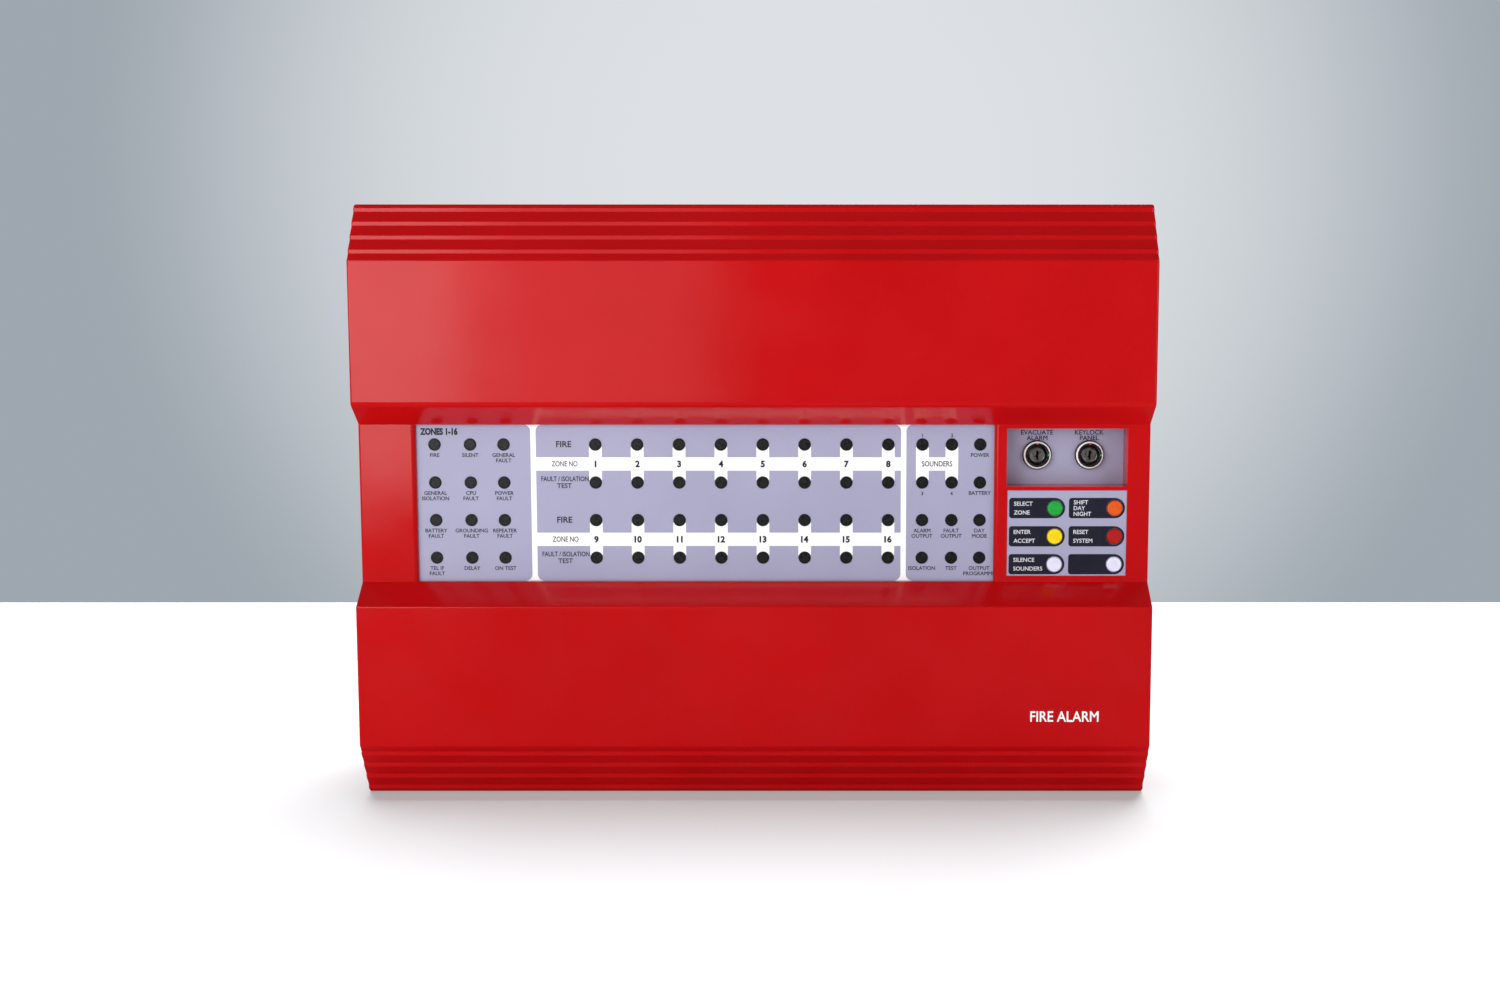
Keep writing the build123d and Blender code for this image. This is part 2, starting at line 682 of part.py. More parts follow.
def key_contact(x):
    """The contact block behind a barrel, with two solder tabs and a well for the plug's tail."""
    front, back, half = KEY_BARREL_BACK, KEY_BARREL_BACK + CONTACT, CONTACT_HALF
    body = block(x - half, x + half, front, back, KEY_HEIGHT - half, KEY_HEIGHT + half)
    body = fillet(body.edges().filter_by(Axis.Y), 1.5)
    body -= rod_y(x, KEY_HEIGHT, KEY_PLUG_R + 0.25, front - CUT, front + CONTACT_WELL)
    low, high = KEY_HEIGHT - CONTACT_TAB_THICK / 2, KEY_HEIGHT + CONTACT_TAB_THICK / 2
    for middle in CONTACT_TABS:
        x0, x1 = x + middle - CONTACT_TAB_HALF, x + middle + CONTACT_TAB_HALF
        body += block(x0, x1, back - 0.5, back + CONTACT_TAB, low, high)
    return body


# Buttons

def button_places():
    return [
        (f"button_{row}_{column}", x, z)
        for row, z in BUTTON_ROWS
        for column, x in BUTTON_COLUMNS
    ]


def button_plate():
    """The printed plate, its lip behind the cover's wall and the posts that carry the board."""
    back = BUTTON_PLATE_FRONT + BUTTON_PLATE
    left, right = BUTTONS_LEFT + BUTTON_FIT, BUTTONS_RIGHT - BUTTON_FIT
    low, high = BUTTONS_BOTTOM + BUTTON_FIT, BUTTONS_TOP - BUTTON_FIT
    plate = block(left, right, BUTTON_PLATE_FRONT, back, low, high)
    reach = PLATE_LIP_REACH
    plate += block(left - reach, right + reach, back, back + PLATE_LIP, low - reach, high)
    for _, x, z in button_places():
        plate -= rod_y(x, z, BUTTON_R + BUTTON_GAP, BUTTON_PLATE_FRONT - CUT, back + PLATE_LIP + CUT)
    for x, z in BUTTON_POSTS:
        plate += rod_y(x, z, BUTTON_POST_R, back + PLATE_LIP / 2, BUTTON_BOARD_FRONT)
        plate -= rod_y(x, z, POST_SCREW_R, BUTTON_BOARD_FRONT - 5, BUTTON_BOARD_FRONT + CUT)
    return plate


def button(x, z):
    """A cap with a flange behind the plate and a stem that runs into its switch."""
    seat = BUTTON_PLATE_FRONT + BUTTON_PLATE + BUTTON_FLANGE_GAP
    cap = rod_y(x, z, BUTTON_R, BUTTON_PLATE_FRONT - BUTTON_PROUD, seat + BUTTON_FLANGE / 2)
    cap = fillet(front_circle(cap), 0.6)
    flange = rod_y(x, z, BUTTON_FLANGE_R, seat, seat + BUTTON_FLANGE)
    stem = rod_y(x, z, STEM_R, seat, BUTTON_BOARD_FRONT - SWITCH_HEIGHT + STEM_REACH)
    return cap + flange + stem


def tact_switch(x, z):
    front = BUTTON_BOARD_FRONT - SWITCH_HEIGHT
    half = SWITCH_HALF
    body = block(x - half, x + half, front, BUTTON_BOARD_FRONT, z - half, z + half)
    body = chamfer(body.edges().filter_by(Axis.Y), 0.5)
    return body - rod_y(x, z, SWITCH_WELL_R, front - CUT, front + SWITCH_WELL)


def button_board():
    back = BUTTON_BOARD_FRONT + BOARD
    left, right, low, high = BUTTON_BOARD
    board = block(left, right, BUTTON_BOARD_FRONT, back, low, high)
    for x, z in BUTTON_POSTS:
        board -= rod_y(x, z, SCREW_R, BUTTON_BOARD_FRONT - CUT, back + CUT)
    return board


# Back box

def entry_places():
    return [ENTRY_FIRST + ENTRY_PITCH * i for i in range(ENTRY_COUNT)]


def back_box():
    box = block(-HALF_WIDTH, HALF_WIDTH, BOX_RIM, 0, -HALF_HEIGHT, HALF_HEIGHT)
    box = fillet(box.edges().filter_by(Axis.Y), BOX_EDGE_R)
    side, end = HALF_WIDTH - WALL, HALF_HEIGHT - WALL
    box -= block(-side, side, BOX_RIM - CUT, BACK_INSIDE, -end, end)
    for x in entry_places():
        box -= rod_z(x, ENTRY_Y, ENTRY_R, end - CUT, HALF_HEIGHT + CUT)
    box -= rod_z(*MAINS_ENTRY, ENTRY_R, -HALF_HEIGHT - CUT, CUT - end)
    for x in (-FIXING_X, FIXING_X):
        for z in (-FIXING_Z, FIXING_Z):
            box -= rod_y(x, z, FIXING_R, BACK_INSIDE - CUT, CUT)
    for z in CLAMP_HEIGHTS:
        box -= rod_x(CLAMP_Y, z, CLAMP_SCREW_R, side - CUT, HALF_WIDTH + CUT)
    floor = BACK_INSIDE + STRAP_SCREW_DEPTH
    for x in strap_screw_places():
        box -= rod_y(x, STRAP_MIDDLE, STRAP_SCREW_R, BACK_INSIDE - CUT, floor)
    half = BATTERY_RIB / 2
    for x in BATTERY_RIBS:
        box += block(x - half, x + half, BATTERY_RIB_FRONT, BACK_INSIDE, -end, BATTERY_BOTTOM)
    for lug in box_knuckles():
        box += lug
    return box


def hinge_pins():
    half = KNUCKLE_LENGTH * 1.5 + KNUCKLE_GAP
    return [rod_z(HINGE_X, HINGE_Y, PIN_R, z - half, z + half) for z in HINGE_HEIGHTS]


def clamp_screw(z):
    """A slotted pan-head screw through the right wall, with its shank in the clamp nut."""
    face = HALF_WIDTH + CLAMP_HEAD
    head = rod_x(CLAMP_Y, z, CLAMP_HEAD_R, HALF_WIDTH, face)
    head = fillet(head.edges().filter_by(GeomType.CIRCLE).sort_by(Axis.X)[-1], 1.0)
    shank = rod_x(CLAMP_Y, z, CLAMP_SCREW_R, HALF_WIDTH - CLAMP_SHANK, HALF_WIDTH + CLAMP_HEAD / 2)
    low, high = CLAMP_Y - CLAMP_HEAD_R - CUT, CLAMP_Y + CLAMP_HEAD_R + CUT
    return head + shank - block(face - 1.2, face + CUT, low, high, z - 0.6, z + 0.6)


def clamp_nut(z):
    outside = HALF_WIDTH - WALL - CLAMP_TAB_GAP - CLAMP_TAB - NUT_GAP
    inside, half = outside - NUT, NUT_HALF
    nut = block(inside, outside, CLAMP_Y - half, CLAMP_Y + half, z - half, z + half)
    return nut - rod_x(CLAMP_Y, z, CLAMP_SCREW_R, inside - CUT, outside + CUT)


def grommet(x):
    """A closed rubber bush: a groove over the wall's edge and a thin membrane to pierce."""
    inside = HALF_HEIGHT - WALL
    low, high = inside - GROMMET_INSIDE, HALF_HEIGHT + GROMMET_OUTSIDE
    body = rod_z(x, ENTRY_Y, ENTRY_R, low, high)
    for z0, z1 in ((low, inside), (HALF_HEIGHT, high)):
        body += rod_z(x, ENTRY_Y, ENTRY_R + GROMMET_LIP, z0, z1)
    for z0, z1 in ((HALF_HEIGHT - GROMMET_SKIN, high + CUT), (low - CUT, inside + GROMMET_SKIN)):
        body -= rod_z(x, ENTRY_Y, ENTRY_R - GROMMET_WALL, z0, z1)
    return body


# Main board

def board_plate(limits, screws):
    x0, x1, z0, z1 = limits
    board = block(x0, x1, BOARD_FRONT, BOARD_BACK, z0, z1)
    for x, z in screws:
        board -= rod_y(x, z, SCREW_R, BOARD_FRONT - CUT, BOARD_BACK + CUT)
    return board


def spacer(x, z):
    body = hexagon_y(x, z, SPACER_R, BOARD_BACK, BACK_INSIDE - BOARD_BACK)
    return body - rod_y(x, z, SCREW_R, BOARD_BACK - CUT, BOARD_BACK + 5)


def board_screw(x, z):
    return screw_y(x, z, BOARD_FRONT, 1, SCREW_R, BOARD + 4, BOARD_HEAD_R, BOARD_HEAD)


def way_middles(x):
    return [x + WAY * (way + 0.5) - TERMINAL_GAP / 2 for way in range(WAYS)]


def terminal_block(x):
    """Four ways: wire entries face up and screw wells face the operator."""
    front = BOARD_FRONT - TERMINAL_DEPTH
    body = block(x, x + WAY * WAYS - TERMINAL_GAP, front, BOARD_FRONT, TERMINAL_LOW, TERMINAL_HIGH)
    body = chamfer(body.edges().filter_by(Axis.X).group_by(Axis.Y)[0], 1.2)
    y0, y1 = BOARD_FRONT - 6.5, BOARD_FRONT - 2.5
    for middle in way_middles(x):
        x0, x1 = middle - WIRE_WAY_HALF, middle + WIRE_WAY_HALF
        body -= block(x0, x1, y0, y1, TERMINAL_HIGH - 6, TERMINAL_HIGH + CUT)
        body -= rod_y(middle, TERMINAL_WELL_Z, TERMINAL_WELL_R, front - CUT, front + TERMINAL_WELL)
    return body


def terminal_screws(x):
    floor = BOARD_FRONT - TERMINAL_DEPTH + TERMINAL_WELL
    face = floor - TERMINAL_HEAD
    low, high = TERMINAL_WELL_Z - 0.3, TERMINAL_WELL_Z + 0.3
    found = []
    for middle in way_middles(x):
        head = rod_y(middle, TERMINAL_WELL_Z, TERMINAL_WELL_R, face, floor)
        found.append(head - block(middle - 3, middle + 3, face - CUT, face + 0.7, low, high))
    return found


def zone_block_places():
    return [MAIN_BOARD[0] + 4 + WAY * WAYS * i for i in range(ZONE_BLOCKS)]


def output_block_places():
    first = MAIN_BOARD[0] + 8 + WAY * WAYS * ZONE_BLOCKS
    return [first + WAY * WAYS * i for i in range(OUTPUT_BLOCKS)]


def relay(x):
    width, height = RELAY
    front = BOARD_FRONT - height
    body = block(x, x + width, front, BOARD_FRONT - 0.3, RELAY_LOW, RELAY_HIGH)
    return fillet(body.edges().group_by(Axis.Y)[0], 0.8)


def chip(x, z):
    """A dual in-line chip lying along X, with its legs bent down to the board."""
    half = CHIP_PINS * PIN_PITCH / 4
    front = BOARD_FRONT - 4
    body = block(x - half, x + half, front, BOARD_FRONT - 0.8, z - CHIP_HALF, z + CHIP_HALF)
    body -= rod_y(x - half, z, 0.9, front - CUT, front + 0.6)
    legs = []
    for side in (-1, 1):
        z0, z1 = sorted((z + side * (CHIP_HALF - 0.2), z + side * (CHIP_HALF + 0.7)))
        for index in range(CHIP_PINS // 2):
            middle = x - half + PIN_PITCH * (index + 0.5)
            x0, x1 = middle - PIN_HALF, middle + PIN_HALF
            legs.append(block(x0, x1, BOARD_FRONT - 2.4, BOARD_FRONT, z0, z1))
    return body + legs


def microcontroller(x, z):
    half = CONTROLLER_HALF
    body = block(x - half, x + half, BOARD_FRONT - 3.8, BOARD_FRONT - 0.4, z - half, z + half)
    body = chamfer(body.edges().filter_by(Axis.Y), 0.9)
    front = BOARD_FRONT - 2
    legs = []
    for side in (-1, 1):
        low, high = sorted((side * (half - 0.2), side * (half + 0.8)))
        for index in range(CONTROLLER_LEGS):
            along = CONTROLLER_PITCH * (index - CONTROLLER_LEGS // 2)
            near, far = along - 0.4, along + 0.4
            legs.append(block(x + near, x + far, front, BOARD_FRONT, z + low, z + high))
            legs.append(block(x + low, x + high, front, BOARD_FRONT, z + near, z + far))
    return body + legs


def fuse(x, z):
    tube = rod_x(FUSE_Y, z, FUSE_GLASS_R, x - FUSE_GLASS_HALF, x + FUSE_GLASS_HALF)
    tube += rod_x(FUSE_Y, z, FUSE_CAP_R, x - FUSE_HALF, x - FUSE_GLASS_HALF)
    return tube + rod_x(FUSE_Y, z, FUSE_CAP_R, x + FUSE_GLASS_HALF, x + FUSE_HALF)


def fuse_clips(x, z):
    found = []
    for side in (-1, 1):
        x0, x1 = sorted((x + side * (FUSE_GLASS_HALF + 1), x + side * (FUSE_HALF - 0.5)))
        clip = block(x0, x1, FUSE_Y - 1.5, BOARD_FRONT, z - CLIP_HALF, z + CLIP_HALF)
        clip -= rod_x(FUSE_Y, z, FUSE_CAP_R, x0 - CUT, x1 + CUT)
        mouth = CLIP_HALF / 2
        clip -= block(x0 - CUT, x1 + CUT, FUSE_Y - 3, FUSE_Y, z - mouth, z + mouth)
        found.append(clip)
    return found


def capacitor(x, z, radius, height):
    body = rod_y(x, z, radius, BOARD_FRONT - height, BOARD_FRONT)
    return fillet(front_circle(body), 0.6)


def capacitors():
    small = [capacitor(x, z, *SMALL_CAPACITOR) for x, z in SMALL_CAPACITORS]
    return small + [capacitor(*LARGE_CAPACITOR)]


def buzzer():
    x, z, _, height = BUZZER
    front = BOARD_FRONT - height
    return capacitor(*BUZZER) - rod_y(x, z, 1.5, front - CUT, front + 2.5)


def ribbon_socket(x, back, front):
    body = block(x - SOCKET_HALF, x + SOCKET_HALF, front, back, SOCKET_LOW, SOCKET_HIGH)
    return chamfer(body.edges().filter_by(Axis.Z), 0.6)


def plug_header(x, z):
    """An upright two-way power connector: its wires leave towards the operator."""
    body = block(x - WAY, x + WAY, BOARD_FRONT - PLUG_HEIGHT, BOARD_FRONT, z - WAY, z + WAY)
    return chamfer(body.edges().group_by(Axis.Y)[0], 0.8)


# Power supply

def supply_shield():
    """A folded steel guard over the mains side, with cooling slots in its face."""
    x0, x1, z0, z1 = SHIELD_LEFT, SHIELD_RIGHT, SHIELD_LOW, SUPPLY_BOARD[3]
    shield = block(x0, x1, SHIELD_FRONT, BOARD_FRONT, z0, z1)
    shield = fillet(shield.edges().filter_by(Axis.Z).group_by(Axis.Y)[0], 2)
    inside = SHIELD_FRONT + SHIELD
    shield -= block(x0 + SHIELD, x1 - SHIELD, inside, BOARD_FRONT + CUT, z0 - CUT, z1 + CUT)
    width, height = SHIELD_SLOT
    for row in range(SHIELD_ROWS):
        for column in range(SHIELD_COLUMNS):
            x = SHIELD_SLOT_FIRST[0] + column * SHIELD_SLOT_PITCH[0] - width / 2
            z = SHIELD_SLOT_FIRST[1] + row * SHIELD_SLOT_PITCH[1]
            shield -= block(x, x + width, SHIELD_FRONT - CUT, inside + CUT, z, z + height)
    return shield


def transformer():
    x0, x1, z0, z1 = CORE
    core = block(x0, x1, CORE_FRONT, BOARD_FRONT - 2, z0, z1)
    core = chamfer(core.edges().filter_by(Axis.Y), 1)
    x0, x1, z0, z1 = BOBBIN
    bobbin = block(x0, x1, BOBBIN_FRONT, BOARD_FRONT, z0, z1)
    return core + fillet(bobbin.edges().filter_by(Axis.Z), 3)


def heat_sink():
    x0, x1, z0, z1 = HEAT_SINK
    back = x0 + HEAT_SINK_PLATE
    plate = block(x0, back, HEAT_SINK_FRONT, BOARD_FRONT, z0, z1)
    lows = [z0 + 1 + FIN_PITCH * i for i in range(FINS)]
    return plate + [block(back, x1, HEAT_SINK_FRONT, BOARD_FRONT - 1, z, z + FIN) for z in lows]


def mains_block(front, back, z0, z1):
    """Three mains ways, with screw wells that face the operator."""
    body = block(MAINS_LEFT, MAINS_RIGHT, front, back, z0, z1)
    body = chamfer(body.edges().group_by(Axis.Y)[0], 1.0)
    for x in MAINS_WAYS:
        body -= rod_y(x, (z0 + z1) / 2, MAINS_WELL_R, front - CUT, front + MAINS_WELL_DEPTH)
    return body


def earth_stud():
    x, z = EARTH
    stud = rod_y(x, z, EARTH_STUD_R, BACK_INSIDE - 17, BACK_INSIDE)
    washer = rod_y(x, z, EARTH_WASHER_R, BACK_INSIDE - 2, BACK_INSIDE)
    return stud + washer + hexagon_y(x, z, EARTH_NUT_R, BACK_INSIDE - 5, 3)


# Batteries

def battery(left):
    x1 = left + BATTERY[0]
    body = block(left, x1, BATTERY_FRONT, BATTERY_BACK, BATTERY_BOTTOM, BATTERY_TOP)
    body = fillet(body.edges().filter_by(Axis.Z), 2.5)
    body = fillet(body.edges().group_by(Axis.Z)[-1], 1.0)
    lid = BATTERY_TOP - LID
    height, depth = LID_GROOVE
    front, back = BATTERY_FRONT, BATTERY_BACK
    groove = block(left - CUT, x1 + CUT, front - CUT, back + CUT, lid, lid + height)
    core = block(left + depth, x1 - depth, front + depth, back - depth, lid - CUT, lid + height + CUT)
    return body - (groove - core)


def tab_places():
    return [x for left in BATTERY_LEFTS for x in (left + TAB_INSET, left + BATTERY[0] - TAB_INSET)]


def battery_tab(x):
    y0, y1 = TAB_Y - TAB_THICK / 2, TAB_Y + TAB_THICK / 2
    return block(x - TAB_HALF, x + TAB_HALF, y0, y1, BATTERY_TOP, BATTERY_TOP + TAB_HEIGHT)


def spade_sleeve(x):
    half_x, half_y = SLEEVE[0] / 2, SLEEVE[1] / 2
    low = BATTERY_TOP + 0.6
    body = block(x - half_x, x + half_x, TAB_Y - half_y, TAB_Y + half_y, low, SLEEVE_TOP)
    return fillet(body.edges().filter_by(Axis.Z), 1.6) - battery_tab(x)


def foam_pads():
    found = []
    for left in BATTERY_LEFTS:
        for inset in FOAM_INSETS:
            x = left + inset
            found.append(block(x, x + FOAM_WIDTH, BATTERY_BACK, BACK_INSIDE, FOAM_LOW, FOAM_HIGH))
    return found


def battery_strap():
    """A steel band round the front of both batteries, with a screwed foot at each end."""
    x0, x1 = BATTERY_LEFTS[0] - STRAP, BATTERY_LEFTS[1] + BATTERY[0] + STRAP
    outside = block(x0, x1, BATTERY_FRONT - STRAP, BACK_INSIDE, STRAP_LOW, STRAP_HIGH)
    outside = fillet(outside.edges().filter_by(Axis.Z).group_by(Axis.Y)[0], STRAP_BEND_R)
    inside = block(
        x0 + STRAP, x1 - STRAP, BATTERY_FRONT, BACK_INSIDE + CUT, STRAP_LOW - CUT, STRAP_HIGH + CUT
    )
    inside = fillet(inside.edges().filter_by(Axis.Z).group_by(Axis.Y)[0], STRAP_BEND_R - STRAP)
    band = outside - inside
    foot = BACK_INSIDE - STRAP
    for low, high in ((x0 - STRAP_FOOT, x0 + STRAP / 2), (x1 - STRAP / 2, x1 + STRAP_FOOT)):
        band += block(low, high, foot, BACK_INSIDE, STRAP_LOW, STRAP_HIGH)
    for x in strap_screw_places():
        band -= rod_y(x, STRAP_MIDDLE, STRAP_SCREW_R, foot - CUT, BACK_INSIDE + CUT)
    return band


def strap_screw_places():
    reach = STRAP + STRAP_FOOT / 2 + 0.5
    return (BATTERY_LEFTS[0] - reach, BATTERY_LEFTS[1] + BATTERY[0] + reach)


def strap_screws():
    sizes = (STRAP_SCREW_R, STRAP + STRAP_SCREW_DEPTH, STRAP_HEAD_R, STRAP_HEAD)
    seat = BACK_INSIDE - STRAP
    return [screw_y(x, STRAP_MIDDLE, seat, 1, *sizes) for x in strap_screw_places()]


# Wires

def wire(name, points):
    """A tube of straight runs and tangent arcs, each arc as large as its runs allow."""
    route = [Vector(*point) for point in points]
    bends = []
    for a, b, c in zip(route, route[1:], route[2:]):
        before, after = b - a, c - b
        half_turn = radians(before.get_angle(after) / 2)
        bends.append(0.45 * min(before.length, after.length) / tan(half_turn))
    path = FilletPolyline(*route, radius=bends)
    tube = sweep(Plane(origin=path @ 0, z_dir=path % 0) * Circle(WIRE_R), path)
    section = pi * WIRE_R**2
    print(name, "radii", [round(r, 1) for r in bends], "length", round(path.length, 1))
    print(name, "volume", round(tube.volume, 1), "section x length", round(section * path.length, 1))
    return tube


def mains_wire(x):
    """A short wire from the mains terminals up to the supply board, bowed to the front."""
    y = BOARD_FRONT - 4
    low, high = MAINS_HIGH + MAINS_WIRE_END, INPUT_LOW - MAINS_WIRE_END
    bow = (x, y - MAINS_WIRE_BOW, (low + high) / 2)
    return [(x, y, MAINS_HIGH), (x, y, low), bow, (x, y, high), (x, y, INPUT_LOW)]


def supply_wire(z):
    """A lead that arches over the boards' gap between their power connectors."""
    left, right = SUPPLY_LEAD
    end = BOARD_FRONT - PLUG_HEIGHT
    side = end - 11
    crown = (77.0, end - 19, z)
    return [(right, end, z), (right, side, z), crown, (left, side, z), (left, end, z)]


def ribbon_cable():
    path = FilletPolyline(*RIBBON_ROUTE, radius=RIBBON_BEND_R)
    strip = trace(path, line_width=RIBBON_THICK)
    return Pos(0, 0, RIBBON_LOW) * extrude(strip, amount=RIBBON_HIGH - RIBBON_LOW)


def save_cover_parts():
    save("front_cover", front_cover())
    save("zone_label", zone_label())
    save("lamp_lenses", *[lens(x, z) for x, z in all_lamps()])
    for name, places in lamp_groups().items():
        save(name, *[led(x, z) for x, z in places])
    save("display_board", display_board())
    save("cover_board_screws", *cover_board_screws())
    socket = ribbon_socket(DISPLAY_SOCKET_X, DISPLAY_SOCKET_BACK, DISPLAY_BACK)
    save("display_ribbon_socket", socket)
    save("key_plate", key_plate())
    save("key_barrels", *[key_barrel(x) for x in KEY_CENTRES])
    for side, x in zip(("left", "right"), KEY_CENTRES):
        save(f"key_plug_{side}", key_plug(x))
    save("key_nuts", *[key_nut(x) for x in KEY_CENTRES])
    save("key_contact_blocks", *[key_contact(x) for x in KEY_CENTRES])
    save("button_plate", button_plate())
    for name, x, z in button_places():
        save(name, button(x, z))
    save("tact_switches", *[tact_switch(x, z) for _, x, z in button_places()])
    save("button_board", button_board())


def save_case_parts():
    save("back_box", back_box())
    save("hinge_pins", *hinge_pins())
    save("clamp_screws", *[clamp_screw(z) for z in CLAMP_HEIGHTS])
    save("clamp_nuts", *[clamp_nut(z) for z in CLAMP_HEIGHTS])
    save("cable_grommets", *[grommet(x) for x in entry_places()])


def save_main_board_parts():
    save("main_board", board_plate(MAIN_BOARD, MAIN_SCREWS))
    save("board_spacers", *[spacer(x, z) for x, z in MAIN_SCREWS + SUPPLY_SCREWS])
    save("case_screws", *[board_screw(x, z) for x, z in MAIN_SCREWS + SUPPLY_SCREWS], *strap_screws())
    save("zone_terminals", *[terminal_block(x) for x in zone_block_places()])
    save("output_terminals", *[terminal_block(x) for x in output_block_places()])
    every_block = zone_block_places() + output_block_places()
    save("terminal_screws", *[screw for x in every_block for screw in terminal_screws(x)])
    save("relays", *[relay(x) for x in RELAY_LEFTS])
    save("microcontroller", microcontroller(*CONTROLLER))
    save("driver_chips", *[chip(x, z) for x, z in CHIPS])
    save("fuses", *[fuse(x, z) for x, z in FUSES])
    save("fuse_clips", *[clip for x, z in FUSES for clip in fuse_clips(x, z)])
    save("capacitors", *capacitors())
    save("buzzer", buzzer())
    save("main_ribbon_socket", ribbon_socket(MAIN_SOCKET_X, BOARD_FRONT, MAIN_SOCKET_FRONT))
    save("power_connectors", *[plug_header(x, z) for x, z in PLUGS])


def save_supply_parts():
    save("supply_board", board_plate(SUPPLY_BOARD, SUPPLY_SCREWS))
    save("supply_transformer", transformer())
    save("heat_sink", heat_sink())
    save("supply_shield", supply_shield())
    save(
        "mains_terminals",
        mains_block(MAINS_FRONT, BACK_INSIDE, MAINS_LOW, MAINS_HIGH),
        mains_block(INPUT_FRONT, BOARD_FRONT, INPUT_LOW, INPUT_HIGH),
    )
    save("earth_stud", earth_stud())
    save("mains_wires", *[wire("mains_wire", mains_wire(x)) for x in MAINS_WAYS])


def save_battery_parts():
    for side, left in zip(("left", "right"), BATTERY_LEFTS):
        save(f"battery_{side}", battery(left))
    save("battery_tabs", *[battery_tab(x) for x in tab_places()])
    save("spade_sleeves", *[spade_sleeve(x) for x in tab_places()])
    save("foam_pads", *foam_pads())
    save("battery_strap", battery_strap())
    red_z, black_z = SUPPLY_LEAD_HEIGHTS
    save(
        "red_leads",
        wire("battery_red_lead", RED_LEAD),
        wire("supply_red_lead", supply_wire(red_z)),
    )
    save(
        "black_leads",
        wire("battery_black_lead", BLACK_LEAD),
        wire("battery_link_lead", LINK_LEAD),
        wire("supply_black_lead", supply_wire(black_z)),
    )
    save("ribbon_cable", ribbon_cable())


os.makedirs("parts", exist_ok=True)
save_cover_parts()
save_case_parts()
save_main_board_parts()
save_supply_parts()
save_battery_parts()
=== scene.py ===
import json
from math import atan2, cos, degrees, pi, radians, sin, sqrt

import bmesh
import bpy
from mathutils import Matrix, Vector


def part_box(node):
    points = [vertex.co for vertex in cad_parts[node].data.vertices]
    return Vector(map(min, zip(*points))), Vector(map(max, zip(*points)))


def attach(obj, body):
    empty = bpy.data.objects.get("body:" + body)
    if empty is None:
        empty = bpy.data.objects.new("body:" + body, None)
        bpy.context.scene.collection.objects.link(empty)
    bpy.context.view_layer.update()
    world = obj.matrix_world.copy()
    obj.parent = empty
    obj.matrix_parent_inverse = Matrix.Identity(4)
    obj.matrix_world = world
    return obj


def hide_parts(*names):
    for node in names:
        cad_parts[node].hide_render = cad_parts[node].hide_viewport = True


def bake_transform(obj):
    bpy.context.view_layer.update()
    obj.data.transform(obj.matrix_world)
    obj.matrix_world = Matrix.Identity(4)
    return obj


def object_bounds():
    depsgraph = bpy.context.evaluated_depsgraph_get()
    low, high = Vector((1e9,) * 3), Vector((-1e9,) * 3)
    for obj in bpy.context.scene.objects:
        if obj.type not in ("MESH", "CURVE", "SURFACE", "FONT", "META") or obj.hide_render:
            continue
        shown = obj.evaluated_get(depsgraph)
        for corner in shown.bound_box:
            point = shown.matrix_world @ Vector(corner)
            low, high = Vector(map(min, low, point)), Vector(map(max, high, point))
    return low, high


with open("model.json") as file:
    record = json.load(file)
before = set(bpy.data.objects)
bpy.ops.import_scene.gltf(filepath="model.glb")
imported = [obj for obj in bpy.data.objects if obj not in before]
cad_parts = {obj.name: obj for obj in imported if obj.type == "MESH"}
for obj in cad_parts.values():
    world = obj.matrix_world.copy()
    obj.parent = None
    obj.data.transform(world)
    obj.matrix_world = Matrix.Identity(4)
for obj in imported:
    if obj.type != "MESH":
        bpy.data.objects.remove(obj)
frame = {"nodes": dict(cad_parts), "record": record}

# A wall-mounted fire alarm control panel. Lengths are in metres; MM turns millimetres into metres.
# The printed inks, the ribbon cable and the battery stickers are made here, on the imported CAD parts.
MM = 0.001
CAD_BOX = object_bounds()
NODES = frame["nodes"]

# Print on the zone label
INK = 0.04 * MM
LABEL_LIP = 1.4 * MM
PRINT_MARGIN = 0.1 * MM
BAR_HALF = 1.35 * MM
BAR_FLARE = 3.4 * MM
FIRST_BAR_FROM_ZONE = -31.5 * MM
SECOND_BAR_FROM_ZONE = 7.8 * MM
BAND_DROP = 0.2 * MM
BAND_HALF = 3.4 * MM
TAB_HALF = 3.25 * MM
TAB_REACH = 1.3 * MM
LENS_CLEAR = 3.25 * MM
# Painted shade: a dark ring on each lamp lens's face near its edge, by inner and outer radius
LENS_SHADE_INNER = 2.3 * MM
LENS_SHADE_OUTER = 2.78 * MM

# Lettering styles: a capital's height, and how far its outline is moved outwards in the font's own units
CAPTION = (1.85 * MM, 0.018)
NUMBER = (2.95 * MM, 0.05)
ROW = (2.95 * MM, 0.02)
NOTE = (2.35 * MM, 0.018)
BAND = (2.6 * MM, 0.016)
SOUNDER = (1.6 * MM, 0.03)
HEADING = (3.05 * MM, 0.055)
KEY = (2.3 * MM, 0.016)
PILL = (2.0 * MM, 0.012)
FRONT = (5.2 * MM, 0.012)
RATING = (8 * MM, 0.015)
SMALL_PRINT = (3 * MM, 0.004)

# The smallest wall, in the font's own units, whose direction steers a letter's corner
KINK = 0.02
# Points nearer to each other than this are one point
TOUCHING = 1e-7

